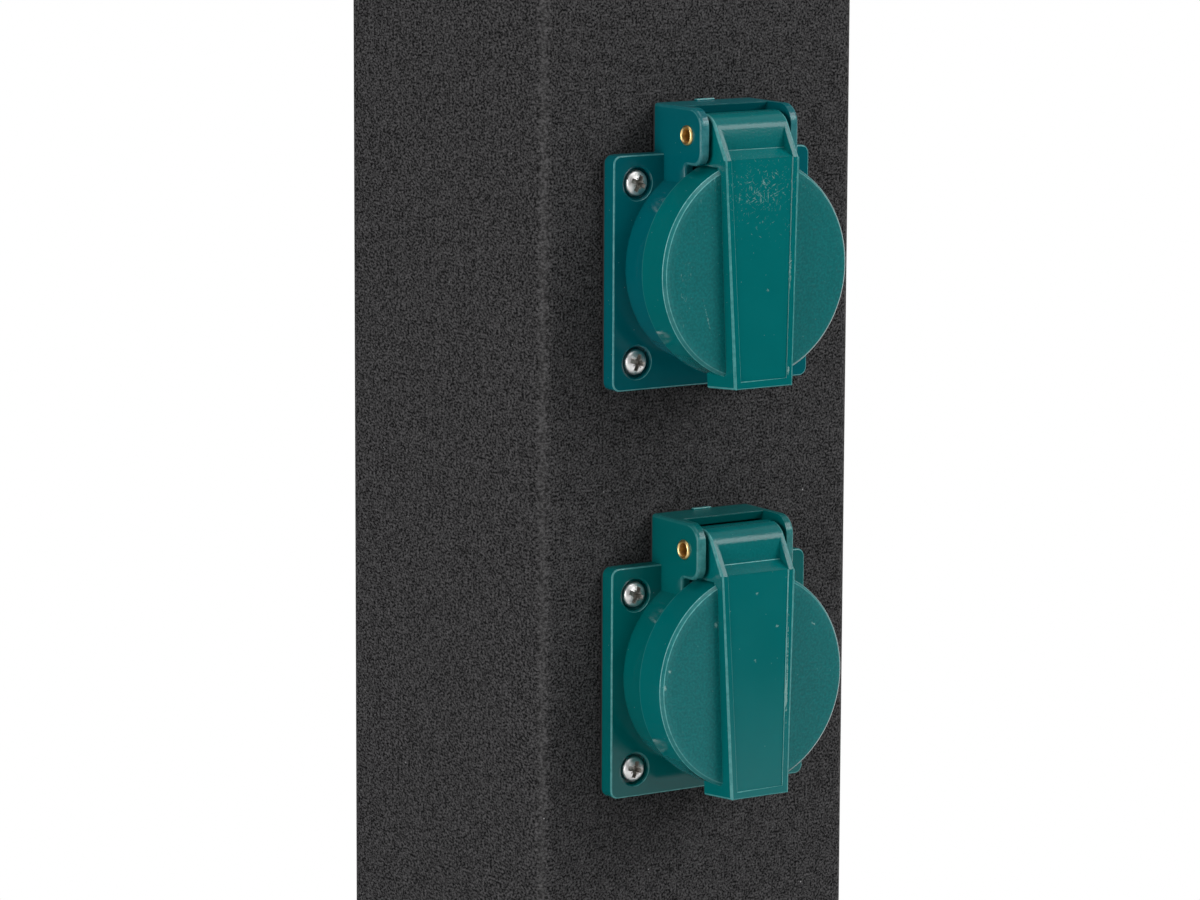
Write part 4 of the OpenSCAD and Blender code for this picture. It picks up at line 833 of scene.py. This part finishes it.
# Lid springs: a torsion coil of hard wire round each pin, in the hollow of the lid's knuckle.
# One leg lies on the collar and the other presses on the lid's arm, so the coil winds up with it.
def wire(points, radius, sides=12):
    """A round wire along a line of points, with every other quarter of its skin marked."""
    points = [Vector(p) for p in points]
    bm = bmesh.new()
    stripe = bm.faces.layers.float.new("stripe")
    angles = [2 * math.pi * k / sides for k in range(sides)]
    side = (points[1] - points[0]).orthogonal().normalized()
    rings = []
    for i, point in enumerate(points):
        along = (points[min(i + 1, len(points) - 1)] - points[max(i - 1, 0)]).normalized()
        side = (side - along * side.dot(along)).normalized()
        over = along.cross(side)
        ring = [radius * (math.cos(a) * side + math.sin(a) * over) for a in angles]
        rings.append([bm.verts.new(point + out) for out in ring])
    for near, far in zip(rings, rings[1:]):
        for k in range(sides):
            skin = bm.faces.new((near[k - 1], near[k], far[k], far[k - 1]))
            skin[stripe] = float(k % (sides // 2) < sides // 4)
    bm.faces.new(rings[0])
    bm.faces.new(rings[-1])
    bmesh.ops.recalc_face_normals(bm, faces=bm.faces)
    return bm


SPRING_WIRE_R, SPRING_R, SPRING_HALF, SPRING_TURN = 0.4, 2.6, 3, 1585
ARM_LEG, REST_LEG, COIL_STEPS, LEG_STEPS = 4.7, 9.15, 110, 6
for side, h in SOCKETS.items():
    path = []
    for k in range(LEG_STEPS):
        path.append((SPRING_HALF, PIN_UP - ARM_LEG * (1 - k / LEG_STEPS), PIN_REACH + SPRING_R))
    for k in range(COIL_STEPS + 1):
        turn = math.radians(SPRING_TURN * k / COIL_STEPS)
        path.append((SPRING_HALF - 2 * SPRING_HALF * k / COIL_STEPS, PIN_UP + SPRING_R * math.sin(turn),
                     PIN_REACH + SPRING_R * math.cos(turn)))
    x, up, reach = path[-1]
    for k in range(1, LEG_STEPS + 1):
        leg = REST_LEG * k / LEG_STEPS
        path.append((x, up + leg * math.cos(turn), reach - leg * math.sin(turn)))
    piece = keep_on(side, "lid_spring", "wire", wire(path, SPRING_WIRE_R), stainless, "steel", None)
    hinge = on_front(h) @ Vector((0, PIN_UP, PIN_REACH))
    across = Vector((SPRING_HALF - SPRING_WIRE_R, 0, 0))
    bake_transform(piece, "post", f"{side}_lid", start=(hinge - across) * MM, end=(hinge + across) * MM)

# Rubber seals: a flat gasket cut from sheet behind each flange, and a moulded ring in each lid
# with a shallow groove where the collar's lip presses into it. Matt black with a faint bloom.
rubber = mottled("rubber_black", "#19191A", "#262627", 3, 0.65, 0.78, {"IOR": 1.5})
GASKET_T, GASKET_HOLE_R, GASKET_EDGE = 0.8, 21.9, 0.25
SEAL_IN_R, SEAL_OUT_R, SEAL_REAR, SEAL_FRONT, SEAL_GROOVE = 18.9, 22.3, 17.15, 18.65, 0.3


def cut_edge(e):
    """A test for the edges round both faces of a gasket."""
    heights = [abs(v.co.z - GASKET_T / 2) for v in e.verts]
    return e.calc_face_angle(0) > 1 and max(heights) - min(heights) < CLOSE and not runs_along(2)(e)


for side in SOCKETS:
    gasket = block((-FLANGE_HALF, -FLANGE_HALF, 0), (FLANGE_HALF, FLANGE_HALF, GASKET_T))
    round_edges(gasket, runs_along(2), FLANGE_CORNER, 5)
    gasket = join(gasket, block((-HOOD_HALF, 0, 0), (HOOD_HALF, HOOD_TOP, GASKET_T)))
    gasket = drill(gasket, (0, DRUM_RISE, -PAST), (0, DRUM_RISE, PAST), GASKET_HOLE_R, 96)
    for x, y in SCREW_SPOTS:
        gasket = drill(gasket, (x, y, -PAST), (x, y, PAST), SCREW_HOLE_R, 32)
    round_edges(gasket, cut_edge, GASKET_EDGE, 2)
    keep_on(side, "gasket", "rubber", gasket, rubber, "rubber_black")
    lip = (SEAL_IN_R + SEAL_OUT_R) / 2
    seal = drum([
        (SEAL_IN_R, SEAL_FRONT - 0.3), *[(SEAL_IN_R + r, SEAL_REAR + z) for r, z in SOFT_EDGE],
        (lip - 1.1, SEAL_REAR + 0.05), (lip - 0.7, SEAL_REAR + SEAL_GROOVE),
        (lip + 0.7, SEAL_REAR + SEAL_GROOVE), (lip + 1.1, SEAL_REAR + 0.05),
        *[(SEAL_OUT_R - r, SEAL_REAR + z) for r, z in reversed(SOFT_EDGE)], (SEAL_OUT_R, SEAL_FRONT - 0.3),
        (SEAL_OUT_R - 0.3, SEAL_FRONT), (SEAL_IN_R + 0.3, SEAL_FRONT)])
    keep_on(side, "lid_seal", "rubber", seal, rubber, "rubber_black", f"{side}_lid")

# Contacts: a carrier of dark thermoset at the bottom of each recess with two round pin holes,
# brass sleeves behind them, and one sprung strip of steel bent into both earth clips. The
# carrier is moulded with soft edges and countersunk holes, and a cover closes the cup behind it.
thermoset = mottled("thermoset_dark_grey", "#3C3E40", "#4A4C4E", 0.6, 0.38, 0.5, {"IOR": 1.55})
CARRIER_R, CARRIER_REAR, CARRIER_FRONT, GROOVE_R, PIN_AT, PIN_HOLE_R = 20.15, -9.5, -0.55, 15.2, 9.5, 2.7
SLEEVE_BORE_R, SLEEVE_FRONT, CLIP_HALF, CLIP_SLOT_UP, CUP_DEPTH = 3.5, -2.05, 3, 17.9, -20
CLIP_T, CLIP_UP, CLIP_REAR, CLIP_TIP, CLIP_STEP, BEND, BEND_STEPS = 0.8, 18.5, -10, 10.5, 0.3, 1.2, 6
BULGE, BULGE_AT, BULGE_HALF = 1.6, 6.5, 3
CLAMP_LOW, CLAMP_HIGH, CLAMP_REAR = -14.7, -7.7, -17.5
for side in SOCKETS:
    carrier = drum([
        (0, CARRIER_REAR), (CARRIER_R, CARRIER_REAR), (CARRIER_R, CARRIER_FRONT - 0.3),
        (CARRIER_R - 0.3, CARRIER_FRONT), (GROOVE_R + 0.4, CARRIER_FRONT),
        (GROOVE_R + 0.2, CARRIER_FRONT - 0.2), (GROOVE_R - 0.2, CARRIER_FRONT - 0.2),
        (GROOVE_R - 0.4, CARRIER_FRONT), (0, CARRIER_FRONT)])
    for x in (-PIN_AT, PIN_AT):
        deep = (x, DRUM_RISE, CUP_DEPTH)
        carrier = drill(carrier, deep, (x, DRUM_RISE, PAST), PIN_HOLE_R)
        carrier = drill(carrier, deep, (x, DRUM_RISE, SLEEVE_FRONT), SLEEVE_BORE_R)
        sunk = rod((x, DRUM_RISE, CARRIER_FRONT - 0.7), (x, DRUM_RISE, CARRIER_FRONT + 0.1),
                   PIN_HOLE_R - 0.1, PIN_HOLE_R + 0.7)
        carrier = cut(carrier, sunk)
    for y in (DRUM_RISE + CLIP_SLOT_UP, DRUM_RISE - CLIP_SLOT_UP - PAST):
        clip_slot = block((-CLIP_HALF - 0.1, y, CUP_DEPTH), (CLIP_HALF + 0.1, y + PAST, PAST))
        carrier = cut(carrier, clip_slot)
    keep_on(side, "contact_carrier", "moulded", carrier, thermoset, "insulator_grey")

    leg = []
    for k in range(int((CLIP_TIP - CLIP_REAR - BEND) / CLIP_STEP)):
        reach = CLIP_TIP - CLIP_STEP * k
        off = max(-1, min(1, (reach - BULGE_AT) / BULGE_HALF))
        leg.append((reach, CLIP_UP - BULGE * (1 + math.cos(math.pi * off)) / 2))
    for k in range(BEND_STEPS + 1):
        turn = math.pi / 2 * k / BEND_STEPS
        leg.append((CLIP_REAR + BEND - BEND * math.sin(turn), CLIP_UP - BEND + BEND * math.cos(turn)))
    bent = leg + [(reach, -up) for reach, up in reversed(leg)]
    faces = {1: [], -1: []}
    for i, (reach, up) in enumerate(bent):
        ahead, behind = bent[min(i + 1, len(bent) - 1)], bent[max(i - 1, 0)]
        along = Vector((ahead[0] - behind[0], ahead[1] - behind[1])).normalized()
        for out in faces:
            skew = out * CLIP_T / 2
            faces[out].append((reach + skew * along.y, up + DRUM_RISE - skew * along.x))
    clip = prism(faces[1] + faces[-1][::-1], CLIP_HALF)
    clamp_low, clamp_high = DRUM_RISE + CLAMP_LOW, DRUM_RISE + CLAMP_HIGH
    clamp = block((-CLIP_HALF, clamp_low, CLAMP_REAR), (CLIP_HALF, clamp_high, CLIP_REAR))
    round_edges(clamp, lambda e: True, 0.3, 2)
    keep_on(side, "earth_clip", "bent", gather([(clip, STILL), (clamp, STILL)]), stainless, "steel", sharp=25)


def dress(finish, *names):
    """Gives CAD nodes that keep their own shape their finish."""
    for name in names:
        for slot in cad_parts[name].material_slots:
            slot.material = finish


for side in SOCKETS:
    dress(thermoset, f"{side}_back_cover")
    dress(brass, f"{side}_pin_contacts")
    dress(stainless, f"{side}_terminal_screws")

# Terminals: a galvanised steel bracket across the post carries the terminal block, and an
# earth stud bonds the post. The block is white polyamide with plated clamp screws.
# Zinc plating: a pale blue-grey metal with a dull, cloudy gloss.
zinc = mottled("zinc_plated_steel", "#9FA3A6", "#BFC3C5", 2.5, 0.3, 0.48, {"Metallic": 1.0})
dress(zinc, "terminal_bracket", "bracket_screws", "block_screws", "clamp_screws")
dress(zinc, "earth_stud", "earth_lug", "earth_nut")
# Polyamide, natural: a warm milky white with a satin skin.
polyamide = mottled("polyamide_white", "#D8D5CC", "#E4E1D8", 4, 0.35, 0.45, {})
dress(polyamide, "terminal_block")

# Wires: stiff single cores from the terminal block up to the two sockets, in brown, blue, and
# green with a yellow stripe, and a short bond to the earth stud. PVC with a waxy gloss.
brown_pvc = mottled("pvc_brown", "#5E3820", "#6E4428", 3, 0.35, 0.45, {})
blue_pvc = mottled("pvc_blue", "#26559C", "#3163AE", 3, 0.35, 0.45, {})
striped_pvc, tree, shader = new_finish("pvc_green_yellow")[:3]
stripes = tint(attribute(tree, "stripe"), linear("#3E8A3A"), "#D9C52E")
set_sockets(shader, {"Base Color": stripes, "Roughness": 0.4})

WIRE_R, WIRE_START, WIRE_BEND, BLOCK_Y, SEAT_Z, RUN_TOP, RUN_FALL = 1.2, -22.4, 8, 21, 126, 168, 30
START_STEPS, TURN_STEPS, RUN_STEPS = 4, 12, 24
DROP_Y = {"upper": 3.4, "lower": -5}
POLE_SHIFT = {"upper": -2.3, "lower": 2.3}
STUD_Y, BOND_FOOT, BOND_LOW, BOND_RISE, BOND_SEAT, BOND_STEPS = 27.7, 95.1, 100, 9, 116, 12


def ease(t):
    """A soft start and a soft end between 0 and 1."""
    return (1 - math.cos(math.pi * t)) / 2


def supply(side, x, down, pole):
    """One wire from a socket's terminal, over a bend and down into the terminal block."""
    up, drop, seat = SOCKETS[side] + DRUM_RISE - down, DROP_Y[side], pole + POLE_SHIFT[side]
    bend_y, bend_z = drop - WIRE_BEND, up - WIRE_BEND
    path = [(x, WIRE_START + (bend_y - WIRE_START) * k / START_STEPS, up) for k in range(START_STEPS)]
    for k in range(TURN_STEPS + 1):
        turn = math.radians(90 * k / TURN_STEPS)
        path.append((x, bend_y + WIRE_BEND * math.sin(turn), bend_z + WIRE_BEND * math.cos(turn)))
    for k in range(RUN_STEPS + 1):
        t = ease(k / RUN_STEPS)
        path.append((x + (seat - x) * t, drop + (BLOCK_Y - drop) * t, RUN_TOP - RUN_FALL * k / RUN_STEPS))
    return wire(path + [(seat, BLOCK_Y, SEAT_Z)], WIRE_R)


for name, finish, slot, x, down, pole in (
        ("line", brown_pvc, "wire_brown", 9.5, 0, 10), ("neutral", blue_pvc, "wire_blue", -9.5, 0, -10),
        ("earth", striped_pvc, "wire_green", 0, 10, 0)):
    runs = [(supply(side, x, down, pole), STILL) for side in SOCKETS]
    if name == "earth":
        bond = [(0, STUD_Y, BOND_FOOT)]
        for k in range(BOND_STEPS + 1):
            t = k / BOND_STEPS
            bond.append((0, STUD_Y + (BLOCK_Y - STUD_Y) * ease(t), BOND_LOW + BOND_RISE * t))
        runs.append((wire(bond + [(0, BLOCK_Y, BOND_SEAT)], WIRE_R), STILL))
    keep(f"{name}_wires_pvc", gather(runs), finish, "post", slot, [f"{name}_wires"])

# Cable gland: a grey polyamide screw gland under the bracket with its lock nut, and a soft
# rubber sleeve inside with four ribs that grip the supply cable.
gland = mottled("polyamide_grey", "#76797B", "#86898B", 4, 0.38, 0.5, {})
dress(gland, "cable_gland", "gland_nut")
GRIP_IN_R, GRIP_OUT_R, GRIP_LOW, GRIP_HIGH, GRIP_EDGE = 5.5, 7.9, 26.1, 37.0, 0.4
RIB_STEP, RIB_DEPTH, MOUTH = 2.6, 0.4, 0.5
grip = [
    (GRIP_OUT_R, GRIP_HIGH - GRIP_EDGE), (GRIP_OUT_R - GRIP_EDGE, GRIP_HIGH),
    (GRIP_IN_R + MOUTH, GRIP_HIGH)]
for k in range(4):
    rib = GRIP_HIGH - 0.8 - k * RIB_STEP
    grip += [(GRIP_IN_R, rib), (GRIP_IN_R, rib - 1.4)]
    grip += [(GRIP_IN_R + RIB_DEPTH, rib - 1.8), (GRIP_IN_R + RIB_DEPTH, rib - 2.2)]
grip += [
    (GRIP_IN_R + MOUTH, GRIP_LOW), (GRIP_OUT_R - GRIP_EDGE, GRIP_LOW), (GRIP_OUT_R, GRIP_LOW + GRIP_EDGE)]
keep("gland_seal_rubber", turned(grip, 64), rubber, "post", "rubber_black", ["gland_seal"])

# Floor: a plain white disc under the post. It keeps the shadow at the foot and is as white as
# the room a little further out.
def mirrored(rays):
    """1 for the rays that come off a gloss or through a clear piece."""
    return calc("MAXIMUM", rays.outputs["Is Glossy Ray"], rays.outputs["Is Transmission Ray"])


FLOOR_R, SHADOW_R, WHITE_R = 1.25, 0.22, 0.5
bm = bmesh.new()
bmesh.ops.create_circle(bm, cap_ends=True, segments=96, radius=FLOOR_R)
floor = add_shape("floor", bm)
# Floor white: a matt near-white that glows where it meets the white room, so no edge shows.
pale, tree, shader, place = new_finish("floor_white")
set_sockets(shader, {"Base Color": linear("#E6E6E6"), "Roughness": 0.9, "Specular IOR Level": 0.1})
away = add_node(tree, "ShaderNodeVectorMath", {0: place}, operation="LENGTH").outputs["Value"]
fade = add_node(tree, "ShaderNodeMapRange", {
    "Value": away, "From Min": SHADOW_R, "From Max": WHITE_R}, interpolation_type="SMOOTHSTEP").outputs[0]
rays = add_node(tree, "ShaderNodeLightPath")
seen = calc("MAXIMUM", mirrored(rays), rays.outputs["Is Camera Ray"])
seen = calc("MULTIPLY", fade, seen)
white = add_node(tree, "ShaderNodeEmission", {"Color": (1, 1, 1, 1), "Strength": 1.0}).outputs[0]
mixed = add_node(tree, "ShaderNodeMixShader", {0: seen, 1: shader.outputs[0], 2: white}).outputs[0]
tree.links.new(mixed, tree.nodes["Material Output"].inputs[0])
floor.data.materials.append(pale)

# Light: large soft boxes to the left and at the right front, weaker ones overhead and in front,
# and a room that is white where the camera looks at it and dim elsewhere.
LAMP_AIM = (0, 0, 0.25)


def soft_box(name, place, size, power):
    """A rectangular lamp that faces the sockets and doesn't show itself."""
    lamp = bpy.data.lights.new(name, "AREA")
    lamp.shape = "RECTANGLE"
    lamp.size, lamp.size_y = size
    lamp.energy = power
    box = add_object(name, lamp)
    turn = (Vector(LAMP_AIM) - Vector(place)).to_track_quat("-Z", "Y").to_matrix().to_4x4()
    box.matrix_world = Matrix.Translation(place) @ turn
    box.visible_camera = False


soft_box("left", (-1.6, -0.25, 0.45), (0.9, 1.2), 16.3)
soft_box("right_front", (0.95, -1.05, 1.1), (0.9, 0.9), 14.5)
soft_box("overhead", (0, -0.3, 1.9), (1.2, 1.2), 8)
soft_box("front", (0.2, -1.5, 0.9), (1.0, 0.6), 4)

# The way the camera looks, laid level: glosses mirror the white only from behind the post.
VIEW_WAY = (0.545, 0.838, 0)
world = bpy.data.worlds.new("room")
bpy.context.scene.world = world
world.use_nodes = True
tree = world.node_tree
rays = add_node(tree, "ShaderNodeLightPath")
where = add_node(tree, "ShaderNodeTexCoord").outputs["Generated"]
behind = add_node(tree, "ShaderNodeVectorMath", {
    0: where, 1: VIEW_WAY}, operation="DOT_PRODUCT").outputs["Value"]
seen = calc("MULTIPLY", mirrored(rays), ramp(behind, 0.5, 0.8))
seen = calc("MAXIMUM", seen, rays.outputs["Is Camera Ray"])
height = add_node(tree, "ShaderNodeSeparateXYZ", {0: where}).outputs["Z"]
ceiling = ramp(height, 0.45, 0.8, 0.04, 0.6)
dim = ramp(rays.outputs["Is Glossy Ray"], low=0.1, high=ceiling)
set_sockets(tree.nodes["Background"], {"Color": (1, 1, 1, 1), "Strength": ramp(seen, low=dim)})

# Camera: a long lens to the left of the post's front, a little above the sockets, turned down
# to them. It has no shift and no blur.
CAMERA_AT, YAW, PITCH, ROLL = (-0.5963, -0.9169, 0.4371), 33.07, -9.17, 0.25
lens = bpy.data.cameras.new("camera")
lens.lens = 150
lens.sensor_width = 36
lens.clip_start, lens.clip_end = 0.05, 50
camera = add_object("camera", lens)
camera.matrix_world = (
    Matrix.Translation(CAMERA_AT) @ Matrix.Rotation(math.radians(-YAW), 4, "Z")
    @ Matrix.Rotation(math.radians(90 + PITCH), 4, "X") @ Matrix.Rotation(math.radians(ROLL), 4, "Z"))
bpy.context.scene.camera = camera
bpy.context.scene.view_settings.view_transform = "Standard"
